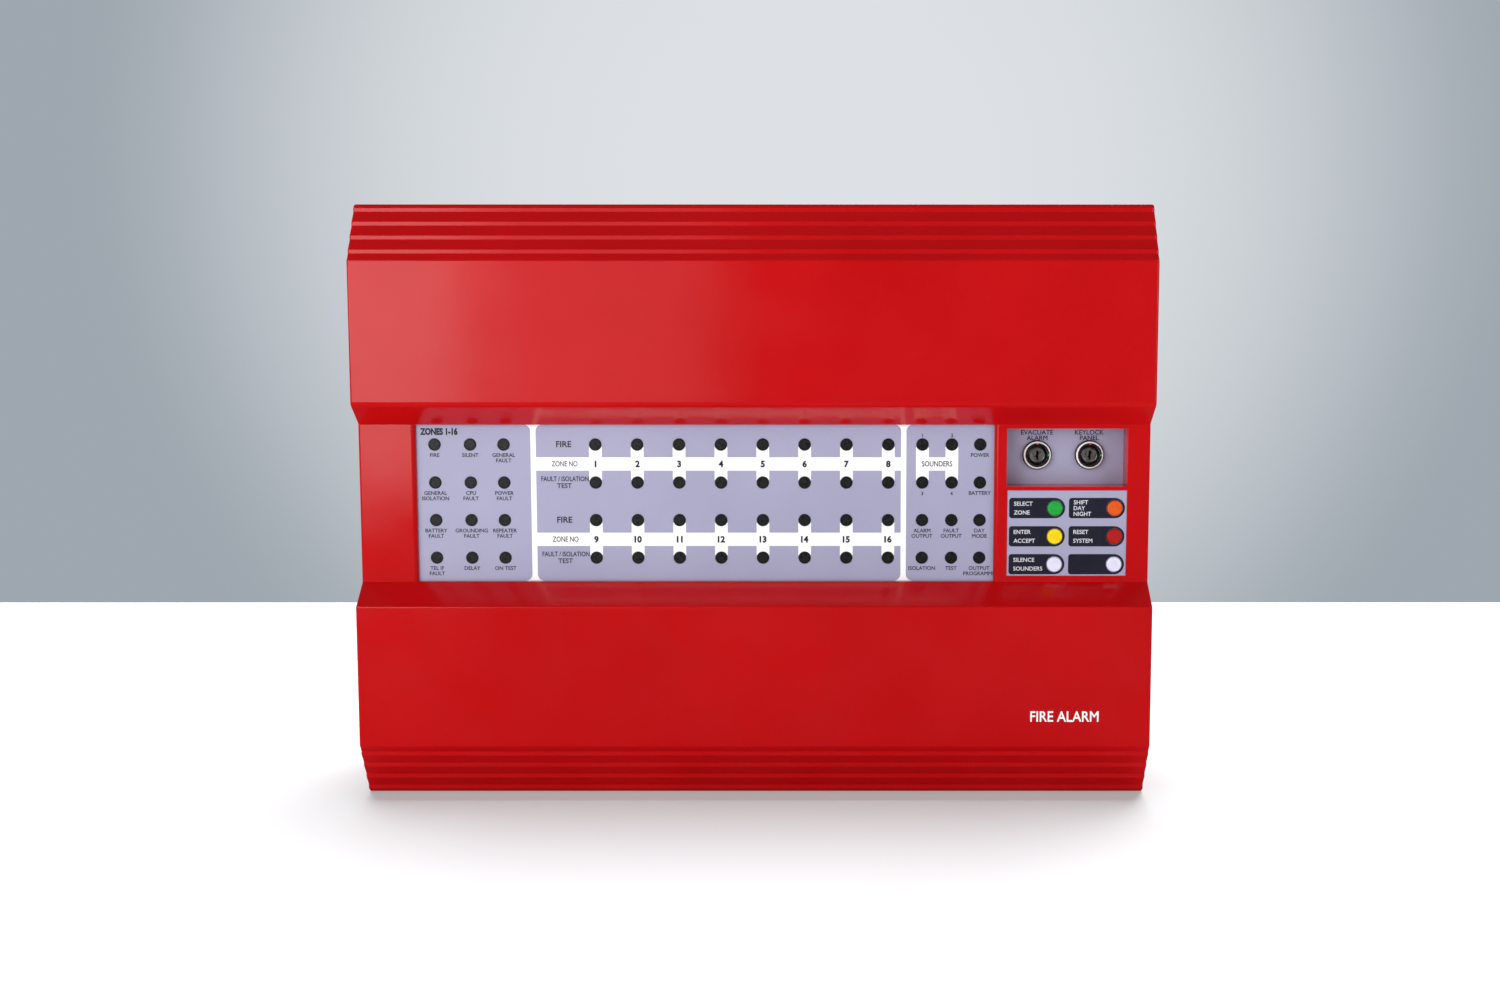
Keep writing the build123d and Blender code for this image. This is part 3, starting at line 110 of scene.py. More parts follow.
# Places and widths of the legends
CAPTION_DROP = 5.35 * MM
CAPTION_PITCH = 2.75 * MM
ROW_LEGEND_FROM_ZONE = -16.0 * MM
FIRE_WIDTH = 7.7 * MM
FIRE_RISE = 0.2 * MM
ZONE_NO_WIDTH = 13.2 * MM
ZONE_NO_SHIFT = 0.3 * MM
BAND_LEGEND_RISE = 0.1 * MM
NOTE_WIDTH = 24.0 * MM
NOTE_SHIFTS = (0.4 * MM, 0.1 * MM)
NOTE_RISE = 1.9 * MM
NOTE_PITCH = 3.5 * MM
SOUNDERS_WIDTH = 15.4 * MM
SOUNDER_ABOVE = 4.7 * MM
SOUNDER_BELOW = -5.6 * MM
HEADING_WIDTH = 19.0 * MM
HEADING_SHIFT = 2.3 * MM
HEADING_RISE = 6.6 * MM
FRONT_WIDTH = 34.5 * MM
FRONT_INSET = 43.5 * MM

LEFT_CAPTIONS = (
    (("FIRE",), ("SILENT",), ("GENERAL", "FAULT")),
    (("GENERAL", "ISOLATION"), ("CPU", "FAULT"), ("POWER", "FAULT")),
    (("BATTERY", "FAULT"), ("GROUNDING", "FAULT"), ("REPEATER", "FAULT")),
    (("TEL IF", "FAULT"), ("DELAY",), ("ON TEST",)),
)
RIGHT_CAPTIONS = (
    ((), (), ("POWER",)),
    ((), (), ("BATTERY",)),
    (("ALARM", "OUTPUT"), ("FAULT", "OUTPUT"), ("DAY", "MODE")),
    (("ISOLATION",), ("TEST",), ("OUTPUT", "PROGRAMME")),
)
BUTTON_LEGENDS = {
    "top_left": ("SELECT", "ZONE"),
    "top_right": ("SHIFT", "DAY", "NIGHT"),
    "middle_left": ("ENTER", "ACCEPT"),
    "middle_right": ("RESET", "SYSTEM"),
    "bottom_left": ("SILENCE", "SOUNDERS"),
    "bottom_right": (),
}
KEY_LEGENDS = (("EVACUATE", "ALARM"), ("KEYLOCK", "PANEL"))

# Button pills
PILL_LEFT = 23.2 * MM
PILL_HALF = 5.2 * MM
PILL_CORNER = 1.5 * MM
PILL_HOLE = 4.2 * MM
PILL_INDENT = 2.4 * MM
TWO_LINE_PITCH = 4.5 * MM
THREE_LINE_PITCH = 2.95 * MM

# The keys: the painted highlight on the bezels' bevel by radius, the words above them and the marks round
# the plugs
BEVEL_HIGHLIGHT_INNER = 6.25 * MM
BEVEL_HIGHLIGHT_OUTER = 6.98 * MM
KEY_WORD_RISES = (11.5 * MM, 8.65 * MM)
KEY_MARK_OUT = 5.75 * MM
KEY_MARK_RADIUS = 0.5 * MM

# The ribbon cable's control points in X and Y, in millimetres from its two sockets. Its fold gives it slack
# while the cover is shut. It is still stretched by a quarter by the time the cover is fully open.
RIBBON_FROM_MAIN = ((0.0, 0.0), (0.0, -7.0), (-16.5, -11.5), (-56.5, -34.0))
RIBBON_FROM_DISPLAY = ((19.5, 13.5), (0.0, 4.5), (0.0, 0.0))
RIBBON_CORES = 20
RIBBON_HALF = 0.45 * MM
RIBBON_MARK = 1.5 * MM
# One core's ridge: places across its pitch, and heights as parts of RIBBON_HALF
CORE_RIDGE = ((0.0, 0.45), (0.25, 0.9), (0.5, 1.0), (0.75, 0.9))

# Battery stickers
PAPER = 0.1 * MM
STICKER_MIDDLE = 62 * MM
STICKER_HALF_WIDTH = 38 * MM
STICKER_HALF_HEIGHT = 14 * MM
STICKER_CORNER = 2 * MM
RATING_RISE = 3 * MM
SMALL_PRINT_DROP = 7 * MM

# Camera
LENS_LENGTH = 44.85
CAMERA_SIDE = 27.8 * MM
CAMERA_BACK = 925.4 * MM
CAMERA_UP = 108.4 * MM
CAMERA_TILT = 6.466
CAMERA_SHIFT = -0.0397

# Backdrop and floor
BACKDROP_GLOW = (0.0, 0.998, 0.06)
GLOW_EDGE = 0.93
ROOM_TINT = (0.9, 0.94, 1.0, 1)
ROOM_STRENGTH = 0.10
FLOOR_WIDTH = 30.0
FLOOR_FRONT = -8.0
FLOOR_BACK = 0.5
FLOOR_GAP = 0.5 * MM
SUN_ENERGY = 6.6
SUN_SPREAD = 50
SUN_LEAN = -16

# Soft lights, all aimed at LIT_MIDDLE: name, place, size and power
LIT_MIDDLE = (0.0, -0.1, 0.0)
SOFTBOXES = (
    ("key_left", (-0.80, -0.90, 0.45), (0.7, 0.9), 7.5),
    ("sheen_left", (-0.64, -1.45, 0.16), (0.5, 0.8), 4.9),
    ("sheen_middle", (-0.24, -1.45, 0.16), (0.32, 0.8), 0.85),
    ("fill_right", (1.0, -0.95, 0.46), (0.7, 1.0), 5.5),
    ("back_fill", (0.45, 0.95, 0.90), (1.0, 1.0), 15.0),
)


# Camera, floor and light

def make_camera(panel_low):
    data = bpy.data.cameras.new("photo_camera")
    data.lens = LENS_LENGTH
    data.shift_x = CAMERA_SHIFT
    camera = bpy.data.objects.new("photo_camera", data)
    camera.location = (CAMERA_SIDE, panel_low.y - CAMERA_BACK, CAMERA_UP)
    camera.rotation_euler = (radians(90 - CAMERA_TILT), 0, 0)
    bpy.context.scene.collection.objects.link(camera)
    bpy.context.scene.camera = camera


def softbox(name, place, size, power):
    data = bpy.data.lights.new(name, "AREA")
    data.shape = "RECTANGLE"
    data.size, data.size_y = size
    data.energy = power
    light = bpy.data.objects.new(name, data)
    light.location = place
    light.rotation_euler = (Vector(LIT_MIDDLE) - Vector(place)).to_track_quat("-Z", "Y").to_euler()
    light.visible_camera = False
    bpy.context.scene.collection.objects.link(light)


def pale_world():
    """A pale backdrop, brightest straight behind the panel. Only the camera sees it at full brightness."""
    world = bpy.data.worlds.new("studio")
    bpy.context.scene.world = world
    world.use_nodes = True
    tree = world.node_tree
    direction = tree.nodes.new("ShaderNodeTexCoord").outputs["Generated"]
    glow = tree.nodes.new("ShaderNodeVectorMath")
    glow.operation = "DOT_PRODUCT"
    glow.inputs[1].default_value = BACKDROP_GLOW
    tree.links.new(direction, glow.inputs[0])
    fade = tree.nodes.new("ShaderNodeMapRange")
    fade.interpolation_type = "SMOOTHSTEP"
    fade.inputs["From Min"].default_value = GLOW_EDGE
    tree.links.new(glow.outputs["Value"], fade.inputs["Value"])
    tones = tree.nodes.new("ShaderNodeMix")
    tones.data_type = "RGBA"
    tones.inputs[6].default_value = srgb(158, 167, 175)
    tones.inputs[7].default_value = srgb(221, 225, 229)
    tree.links.new(fade.outputs[0], tones.inputs[0])
    seen = tree.nodes["Background"]
    tree.links.new(tones.outputs[2], seen.inputs["Color"])
    dim = tree.nodes.new("ShaderNodeBackground")
    dim.inputs["Color"].default_value = ROOM_TINT
    dim.inputs["Strength"].default_value = ROOM_STRENGTH
    mix_by_ray(tree, "Is Camera Ray", dim.outputs[0], seen.outputs[0], tree.nodes["World Output"])


def mix_by_ray(tree, ray, usual, special, output):
    """Feeds output's Surface with one shader, and with another for one kind of ray."""
    path = tree.nodes.new("ShaderNodeLightPath")
    choice = tree.nodes.new("ShaderNodeMixShader")
    tree.links.new(path.outputs[ray], choice.inputs["Fac"])
    tree.links.new(usual, choice.inputs[1])
    tree.links.new(special, choice.inputs[2])
    tree.links.new(choice.outputs[0], output.inputs["Surface"])


def make_floor(height):
    """A matt white floor that mirrors only dimly in the panel's gloss."""
    bm = bmesh.new()
    half = FLOOR_WIDTH / 2
    corners = ((-half, FLOOR_FRONT), (half, FLOOR_FRONT), (half, FLOOR_BACK), (-half, FLOOR_BACK))
    bm.faces.new([bm.verts.new((x, y, 0)) for x, y in corners])
    mesh = bpy.data.meshes.new("floor")
    bm.to_mesh(mesh)
    bm.free()
    floor = bpy.data.objects.new("floor", mesh)
    floor.location.z = height
    bpy.context.scene.collection.objects.link(floor)
    look = Look("floor_paint", {"Specular IOR Level": 0.05, "Emission Strength": 0.24})
    look.shader.inputs["Emission Color"].default_value = (1, 1, 1, 1)
    look.colour(look.mix(look.noise(300 * MM, 2), srgb(160, 161, 163), srgb(166, 166, 168)))
    look.rough(look.spread(look.noise(40 * MM), 0.6, 0.72))
    dim = look.add("ShaderNodeBsdfDiffuse", {"Color": (0.025, 0.025, 0.027, 1)})
    output = look.tree.nodes["Material Output"]
    mix_by_ray(look.tree, "Is Glossy Ray", look.shader.outputs[0], dim.outputs[0], output)
    mesh.materials.append(look.material)
    return floor


def floor_sun(floor):
    """Even soft light for the floor alone. It leans, so that the panel's shadow falls in front of it."""
    data = bpy.data.lights.new("floor_sun", "SUN")
    data.energy = SUN_ENERGY
    data.angle = radians(SUN_SPREAD)
    sun = bpy.data.objects.new("floor_sun", data)
    sun.rotation_euler = (radians(SUN_LEAN), 0, 0)
    bpy.context.scene.collection.objects.link(sun)
    lit = bpy.data.collections.new("floor_only")
    lit.objects.link(floor)
    sun.light_linking.receiver_collection = lit


def studio():
    pale_world()
    for light in SOFTBOXES:
        softbox(*light)
    view = bpy.context.scene.view_settings
    view.view_transform = "Standard"
    view.look = "None"


# Materials

def srgb(red, green, blue):
    """A linear colour from its 0 to 255 display values."""
    shown = [value / 255 for value in (red, green, blue)]
    return (*[c / 12.92 if c <= 10 / 255 else ((c + 0.055) / 1.055) ** 2.4 for c in shown], 1.0)


class Look:
    """A node material: a Principled shader and the textures that feed it, in the part's own space."""

    def __init__(self, name, values=None):
        self.material = bpy.data.materials.new(name)
        self.material.use_nodes = True
        self.tree = self.material.node_tree
        self.shader = self.tree.nodes["Principled BSDF"]
        for socket, value in (values or {}).items():
            self.shader.inputs[socket].default_value = value
        self.space = self.add("ShaderNodeTexCoord", {}).outputs["Object"]
        self.normal = None

    def add(self, kind, inputs):
        node = self.tree.nodes.new(kind)
        for name, value in inputs.items():
            self.feed(node.inputs[name], value)
        return node

    def feed(self, socket, value):
        if isinstance(value, bpy.types.NodeSocket):
            self.tree.links.new(value, socket)
        else:
            socket.default_value = value

    def stretched(self, stretch):
        """The part's space, finer along an axis whose stretch is above 1."""
        return self.add("ShaderNodeMapping", {"Vector": self.space, "Scale": stretch}).outputs["Vector"]

    def noise(self, size, detail=3.0, stretch=None, sharp=0.5):
        space = self.stretched(stretch) if stretch else self.space
        inputs = {"Vector": space, "Scale": 1 / size, "Detail": detail, "Roughness": sharp}
        return self.add("ShaderNodeTexNoise", inputs).outputs[0]

    def cells(self, size, output="Distance", stretch=None, feature="F1", metric="EUCLIDEAN"):
        space = self.stretched(stretch) if stretch else self.space
        node = self.add("ShaderNodeTexVoronoi", {"Vector": space})
        node.feature = feature
        if feature != "DISTANCE_TO_EDGE":
            node.distance = metric
        node.inputs["Scale"].default_value = 1 / size
        return node.outputs[output]

    def bands(self, size, direction="X"):
        node = self.add("ShaderNodeTexWave", {"Vector": self.space, "Scale": 1 / size / 20 * 2 * pi})
        node.bands_direction = direction
        return node.outputs["Fac"]

    def spread(self, value, low, high, start=0.3, end=0.7):
        inputs = {"Value": value, "From Min": start, "From Max": end, "To Min": low, "To Max": high}
        return self.add("ShaderNodeMapRange", inputs).outputs["Result"]

    def maths(self, operation, a, b):
        node = self.tree.nodes.new("ShaderNodeMath")
        node.operation = operation
        self.feed(node.inputs[0], a)
        self.feed(node.inputs[1], b)
        return node.outputs[0]

    def axis(self, name):
        return self.add("ShaderNodeSeparateXYZ", {"Vector": self.space}).outputs[name]

    def mix(self, factor, first, second):
        node = self.tree.nodes.new("ShaderNodeMix")
        node.data_type = "RGBA"
        for index, value in ((0, factor), (6, first), (7, second)):
            self.feed(node.inputs[index], value)
        return node.outputs[2]

    def drift(self, first, second, size, detail=3.0):
        """A colour that wanders between two tones, in patches of the given size."""
        return self.mix(self.spread(self.noise(size, detail), 0, 1), first, second)

    def edges(self, radius):
        """1 along convex and concave edges within radius, 0 on flat faces."""
        bevel = self.add("ShaderNodeBevel", {"Radius": radius})
        bevel.samples = 4
        flat = self.tree.nodes.new("ShaderNodeNewGeometry").outputs["Normal"]
        dot = self.tree.nodes.new("ShaderNodeVectorMath")
        dot.operation = "DOT_PRODUCT"
        self.feed(dot.inputs[0], bevel.outputs["Normal"])
        self.feed(dot.inputs[1], flat)
        return self.spread(dot.outputs["Value"], 1.0, 0.0, 0.9, 0.998)

    def colour(self, value):
        self.feed(self.shader.inputs["Base Color"], value)

    def rough(self, value):
        self.feed(self.shader.inputs["Roughness"], value)

    def relief(self, height, depth):
        inputs = {"Height": height, "Distance": depth, "Strength": 1.0}
        if self.normal:
            inputs["Normal"] = self.normal
        self.normal = self.add("ShaderNodeBump", inputs).outputs["Normal"]
        self.feed(self.shader.inputs["Normal"], self.normal)


def red_abs():
    look = Look("red_abs", {"Specular IOR Level": 0.28})
    deep, plain, rubbed = (0.44, 0.0027, 0.0038, 1), (0.48, 0.0038, 0.0053, 1), (0.59, 0.014, 0.017, 1)
    tone = look.drift(deep, plain, 70 * MM)
    tone = look.mix(look.maths("MULTIPLY", look.edges(0.8 * MM), 0.5), tone, rubbed)
    specks = look.spread(look.noise(1.1 * MM, 2), 0, 0.25, 0.66, 0.8)
    look.colour(look.mix(specks, tone, rubbed))
    look.rough(look.spread(look.noise(28 * MM, 4), 0.09, 0.16))
    look.relief(look.noise(1.6 * MM, 3), 0.012 * MM)
    look.relief(look.noise(26 * MM, 2), 0.06 * MM)
    look.relief(look.noise(0.35 * MM, 3, (1, 1, 30)), 0.002 * MM)
    return look.material


def satin_label():
    look = Look("satin_label", {"Specular IOR Level": 0.4})
    tone = look.drift((0.335, 0.33, 0.47, 1), (0.365, 0.36, 0.51, 1), 55 * MM, 2)
    look.colour(look.mix(look.spread(look.noise(0.5 * MM, 2), 0, 0.3), tone, (0.30, 0.295, 0.42, 1)))
    look.rough(look.spread(look.noise(12 * MM, 4), 0.34, 0.46))
    look.relief(look.noise(0.28 * MM, 2), 0.006 * MM)
    look.relief(look.noise(30 * MM, 1), 0.05 * MM)
    return look.material


def smoked_lens():
    look = Look("smoked_lens", {"Specular IOR Level": 0.25})
    look.colour(look.drift((0.009, 0.009, 0.010, 1), (0.015, 0.015, 0.015, 1), 5 * MM, 2))
    look.rough(look.spread(look.noise(2 * MM), 0.22, 0.36))
    look.relief(look.noise(0.4 * MM, 2), 0.003 * MM)
    return look.material


def diffused_led(name, colour, deep):
    look = Look(name, {"Specular IOR Level": 0.5, "Subsurface Weight": 0.3})
    look.shader.inputs["Subsurface Radius"].default_value = (0.002, 0.001, 0.001)
    look.shader.inputs["Subsurface Scale"].default_value = 0.5
    look.colour(look.drift(deep, colour, 2.2 * MM, 2))
    look.rough(look.spread(look.noise(1.2 * MM), 0.16, 0.28))
    look.relief(look.noise(0.3 * MM, 1), 0.004 * MM)
    return look.material


def moulded(name, dark, light, grain=0.45, roughness=(0.4, 0.55), depth=0.012, worn=None):
    """Moulded plastic: a fine spark-eroded grain, slight colour drift and paler rubbed edges."""
    look = Look(name, {"Specular IOR Level": 0.45})
    tone = look.drift(dark, light, 18 * MM)
    if worn:
        tone = look.mix(look.maths("MULTIPLY", look.edges(0.3 * MM), 0.6), tone, worn)
    look.colour(look.mix(look.spread(look.noise(grain * MM, 2), 0, 0.35), tone, dark))
    look.rough(look.spread(look.noise(6 * MM, 3), *roughness))
    look.relief(look.noise(grain * MM, 3), depth * MM)
    return look.material


def circuit_board():
    look = Look("circuit_board", {"Specular IOR Level": 0.5, "Coat Weight": 0.25, "Coat Roughness": 0.2})
    area = look.cells(11 * MM, "Color", metric="CHEBYCHEV")
    across = look.add("ShaderNodeSeparateColor", {"Color": area})
    turned = look.spread(across.outputs[0], 0, 1, 0.49, 0.51)
    lines = look.mix(turned, look.bands(1.5 * MM, "X"), look.bands(1.5 * MM, "Z"))
    tracks = look.spread(lines, 0, 1, 0.56, 0.66)
    used = look.spread(across.outputs[1], 0, 1, 0.34, 0.36)
    copper = look.maths("MULTIPLY", tracks, used)
    tone = look.mix(copper, (0.006, 0.060, 0.026, 1), (0.018, 0.125, 0.050, 1))
    tone = look.mix(look.spread(look.noise(40 * MM, 3), 0, 0.4), tone, (0.004, 0.045, 0.022, 1))
    pads = look.spread(look.cells(5.2 * MM), 1, 0, 0.11, 0.13)
    look.colour(look.mix(pads, tone, (0.42, 0.36, 0.24, 1)))
    look.rough(look.spread(look.noise(3 * MM, 3), 0.26, 0.42))
    look.relief(copper, 0.03 * MM)
    look.relief(look.noise(0.35 * MM, 2), 0.006 * MM)
    return look.material


def zinc_steel():
    look = Look("zinc_steel", {"Metallic": 1.0})
    tone = look.drift((0.50, 0.50, 0.50, 1), (0.64, 0.63, 0.60, 1), 9 * MM, 4)
    look.colour(look.mix(look.edges(0.25 * MM), tone, (0.80, 0.80, 0.81, 1)))
    look.rough(look.spread(look.noise(2.5 * MM, 4), 0.26, 0.42))
    look.relief(look.noise(0.25 * MM, 2, (1, 6, 1)), 0.006 * MM)
    return look.material


def polished_chrome():
    """Bright plating on the key barrels: a dark polished dish inside a bevel painted as a matt near-white
    band, a painted highlight.
    """
    look = Look("polished_chrome")
    low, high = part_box("key_barrels")
    middle = (low + high) / 2
    apart = (high.x - low.x) / 2 - (high.z - low.z) / 2
    across = look.maths("SUBTRACT", look.axis("X"), middle.x)
    across = look.maths("SUBTRACT", look.maths("ABSOLUTE", across, 0.0), apart)
    along = look.maths("SUBTRACT", look.axis("Z"), middle.z)
    squares = [look.maths("MULTIPLY", value, value) for value in (across, along)]
    radius = look.maths("SQRT", look.maths("ADD", *squares), 0.0)
    inner = look.spread(radius, 0, 1, BEVEL_HIGHLIGHT_INNER - 0.1 * MM, BEVEL_HIGHLIGHT_INNER)
    outer = look.spread(radius, 1, 0, BEVEL_HIGHLIGHT_OUTER - 0.08 * MM, BEVEL_HIGHLIGHT_OUTER)
    bevel = look.maths("MULTIPLY", inner, outer)
    dark = look.drift((0.22, 0.21, 0.22, 1), (0.42, 0.40, 0.41, 1), 2 * MM)
    # Painted highlight: the bevel band is a near-white non-metal that stands in for the bright light the
    # chrome bevel would mirror.
    pale = look.drift((0.90, 0.90, 0.90, 1), (1.0, 1.0, 1.0, 1), 1.2 * MM)
    look.colour(look.mix(bevel, dark, pale))
    look.feed(look.shader.inputs["Metallic"], look.maths("SUBTRACT", 1.0, bevel))
    look.rough(look.spread(look.noise(1.5 * MM, 4), 0.10, 0.20))
    look.relief(look.noise(0.15 * MM, 2), 0.0008 * MM)
    return look.material


def nickel_plug():
    """The key plugs: duller than the barrels and lightly turned."""
    look = Look("nickel_plug", {"Metallic": 1.0})
    tone = look.drift((0.30, 0.28, 0.27, 1), (0.52, 0.50, 0.47, 1), 1.4 * MM, 4)
    look.colour(look.mix(look.edges(0.2 * MM), tone, (0.72, 0.70, 0.68, 1)))
    look.rough(look.spread(look.noise(0.8 * MM, 4), 0.24, 0.42))
    look.relief(look.noise(0.12 * MM, 3, (1, 1, 4)), 0.004 * MM)
    return look.material


def satin_brass():
    look = Look("satin_brass", {"Metallic": 1.0})
    tone = look.drift((0.58, 0.40, 0.15, 1), (0.72, 0.53, 0.23, 1), 4 * MM)
    look.colour(look.mix(look.edges(0.2 * MM), tone, (0.85, 0.70, 0.40, 1)))
    look.rough(look.spread(look.noise(2 * MM, 3), 0.24, 0.38))
    look.relief(look.noise(0.2 * MM, 2), 0.003 * MM)
    return look.material


def drawn_aluminium():
    look = Look("drawn_aluminium", {"Metallic": 1.0})
    streaks = look.noise(0.4 * MM, 3, (1, 1, 0.03))
    look.colour(look.mix(look.spread(streaks, 0, 1), (0.55, 0.56, 0.58, 1), (0.72, 0.73, 0.75, 1)))
    look.rough(look.spread(streaks, 0.24, 0.40))
    look.relief(streaks, 0.006 * MM)
    return look.material


def clear_glass():
    look = Look("clear_glass", {"Transmission Weight": 0.85, "IOR": 1.5})
    look.colour(look.drift((0.80, 0.86, 0.86, 1), (0.92, 0.95, 0.95, 1), 6 * MM))
    look.rough(look.spread(look.noise(3 * MM), 0.02, 0.07))
    return look.material


def dull_rubber(name, size, depth):
    look = Look(name, {"Specular IOR Level": 0.3})
    look.colour(look.drift((0.012, 0.012, 0.012, 1), (0.028, 0.027, 0.026, 1), 7 * MM))
    look.rough(look.spread(look.noise(3 * MM), 0.6, 0.8))
    look.relief(look.cells(size * MM), depth * MM)
    return look.material


def pvc_wire(name, dark, light):
    look = Look(name, {"Specular IOR Level": 0.5})
    look.colour(look.drift(dark, light, 12 * MM))
    look.rough(look.spread(look.noise(2.5 * MM), 0.26, 0.40))
    look.relief(look.noise(0.5 * MM, 2), 0.01 * MM)
    return look.material


def ribbon_pvc():
    """Grey flat cable with the red mark along its first core."""
    look = Look("ribbon_pvc", {"Specular IOR Level": 0.45})
    low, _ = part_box("ribbon_cable")
    first = look.spread(look.axis("Z"), 1, 0, low.z + RIBBON_MARK, low.z + RIBBON_MARK + 0.1 * MM)
    grey = look.drift((0.30, 0.31, 0.33, 1), (0.38, 0.39, 0.41, 1), 9 * MM)
    look.colour(look.mix(first, grey, (0.42, 0.02, 0.02, 1)))
    look.rough(look.spread(look.noise(3 * MM), 0.32, 0.46))
    look.relief(look.noise(0.4 * MM, 2), 0.008 * MM)
    return look.material


def taped_winding():
    look = Look("taped_winding", {"Specular IOR Level": 0.5})
    wraps = look.bands(3.2 * MM, "Z")
    look.colour(look.mix(wraps, (0.52, 0.30, 0.03, 1), (0.70, 0.46, 0.08, 1)))
    look.rough(look.spread(look.noise(3 * MM), 0.2, 0.34))
    look.relief(wraps, 0.08 * MM)
    return look.material


def button_cap(name, dark, light):
    look = Look(name, {"Specular IOR Level": 0.22})
    look.colour(look.drift(dark, light, 3.5 * MM))
    look.rough(look.spread(look.noise(1.5 * MM), 0.24, 0.36))
    look.relief(look.noise(0.3 * MM, 3), 0.008 * MM)
    return look.material


def printing_ink(name, thin, full, roughness=(0.35, 0.5)):
    """Screen-printed ink: slightly uneven cover over the label's grain."""
    look = Look(name, {"Specular IOR Level": 0.28})
    look.colour(look.mix(look.spread(look.noise(0.35 * MM, 3), 0, 1, 0.35, 0.55), thin, full))
    look.rough(look.spread(look.noise(4 * MM, 3), *roughness))
    look.relief(look.noise(0.28 * MM, 2), 0.005 * MM)
    return look.material


def slot_materials():
    return {
        "case_red": red_abs(),
        "label_grey": satin_label(),
        "lens_smoke": smoked_lens(),
        "led_red": diffused_led("led_red_epoxy", (0.42, 0.012, 0.012, 1), (0.22, 0.004, 0.004, 1)),
        "led_amber": diffused_led("led_amber_epoxy", (0.75, 0.30, 0.01, 1), (0.5, 0.16, 0.004, 1)),
        "led_green": diffused_led("led_green_epoxy", (0.03, 0.32, 0.04, 1), (0.01, 0.17, 0.02, 1)),
        "board_green": circuit_board(),
        "steel": zinc_steel(),
        "chrome": polished_chrome(),
        "brass": satin_brass(),
        "aluminium": drawn_aluminium(),
        "black_plastic": moulded("black_plastic", (0.010, 0.010, 0.011, 1), (0.022, 0.022, 0.024, 1),
                                 worn=(0.06, 0.06, 0.06, 1)),
        "white_nylon": moulded("white_nylon", (0.62, 0.61, 0.56, 1), (0.74, 0.73, 0.69, 1)),
        "terminal_green": moulded("terminal_polyamide", (0.010, 0.17, 0.05, 1), (0.020, 0.24, 0.075, 1),
                                  worn=(0.07, 0.36, 0.15, 1)),
        "relay_blue": moulded("relay_housing", (0.010, 0.045, 0.19, 1), (0.018, 0.075, 0.28, 1),
                              worn=(0.08, 0.17, 0.42, 1)),
        "glass": clear_glass(),
        "rubber": dull_rubber("grommet_rubber", 0.5, 0.01),
        "foam": dull_rubber("closed_cell_foam", 1.1, 0.16),
        "battery_grey": moulded("battery_case", (0.030, 0.032, 0.038, 1), (0.048, 0.050, 0.058, 1), 0.7,
                                (0.42, 0.6), 0.03, (0.10, 0.10, 0.11, 1)),
        "wire_red": pvc_wire("red_pvc", (0.36, 0.006, 0.006, 1), (0.50, 0.012, 0.012, 1)),
        "wire_black": pvc_wire("black_pvc", (0.010, 0.010, 0.010, 1), (0.022, 0.022, 0.022, 1)),
        "wire_brown": pvc_wire("brown_pvc", (0.10, 0.032, 0.010, 1), (0.15, 0.055, 0.018, 1)),
        "ribbon_grey": ribbon_pvc(),
        "winding": taped_winding(),
        "button_green": button_cap("green_cap", (0.012, 0.30, 0.035, 1), (0.018, 0.37, 0.05, 1)),
        "button_orange": button_cap("orange_cap", (0.66, 0.075, 0.006, 1), (0.76, 0.105, 0.01, 1)),
        "button_yellow": button_cap("yellow_cap", (0.82, 0.55, 0.003, 1), (0.95, 0.68, 0.006, 1)),
        "button_red": button_cap("red_cap", (0.36, 0.005, 0.005, 1), (0.45, 0.009, 0.009, 1)),
        "button_white": button_cap("white_cap", (0.66, 0.65, 0.80, 1), (0.76, 0.75, 0.90, 1)),
    }


def dress_nodes(looks):
    """Gives each CAD node the finish of its slot in the record."""
    for part in frame["record"]["subparts"]:
        node = NODES[part["node"]]
        if not node.material_slots:
            node.data.materials.append(None)
        for slot in node.material_slots:
            slot.material = looks[part["material_slot"]]
    turned = nickel_plug()
    for side in ("left", "right"):
        for slot in NODES[f"key_plug_{side}"].material_slots:
            slot.material = turned


# Flat printed shapes, drawn in X and Z on a face that looks along -Y

def arc(x, z, radius, start, end, steps=10):
    """Points round (x, z) from one angle to another, in degrees from +X towards +Z."""
    angles = [radians(start + (end - start) * i / steps) for i in range(steps + 1)]
    return [(x + radius * cos(a), z + radius * sin(a)) for a in angles]


def circle(x, z, radius, sides=16):
    return arc(x, z, radius, 0, 360 - 360 / sides, sides - 1)


def plate(bm, outline, face, thickness=INK):
    """A thin closed plate standing on the face plane, with the given outline."""
    pairs = zip(outline, outline[1:] + outline[:1])
    points = [p for p, after in pairs if (Vector(p) - Vector(after)).length > TOUCHING]
    back = [bm.verts.new((x, face, z)) for x, z in points]
    front = [bm.verts.new((x, face - thickness, z)) for x, z in points]
    ends = [bm.faces.new(back), bm.faces.new(front[::-1])]
    sides = []
    for i, vertex in enumerate(back):
        after = (i + 1) % len(back)
        sides.append(bm.faces.new((front[i], front[after], back[after], vertex)))
    bmesh.ops.recalc_face_normals(bm, faces=ends + sides)
    bmesh.ops.triangulate(bm, faces=ends)


def ring(bm, x, z, inner, outer, face, steps=40):
    """A thin flat ring: two half rings, so that each outline is one simple loop."""
    for start in (0, 180):
        outside = arc(x, z, outer, start, start + 180, steps // 2)
        inside = arc(x, z, inner, start + 180, start, steps // 2)
        plate(bm, outside + inside, face)


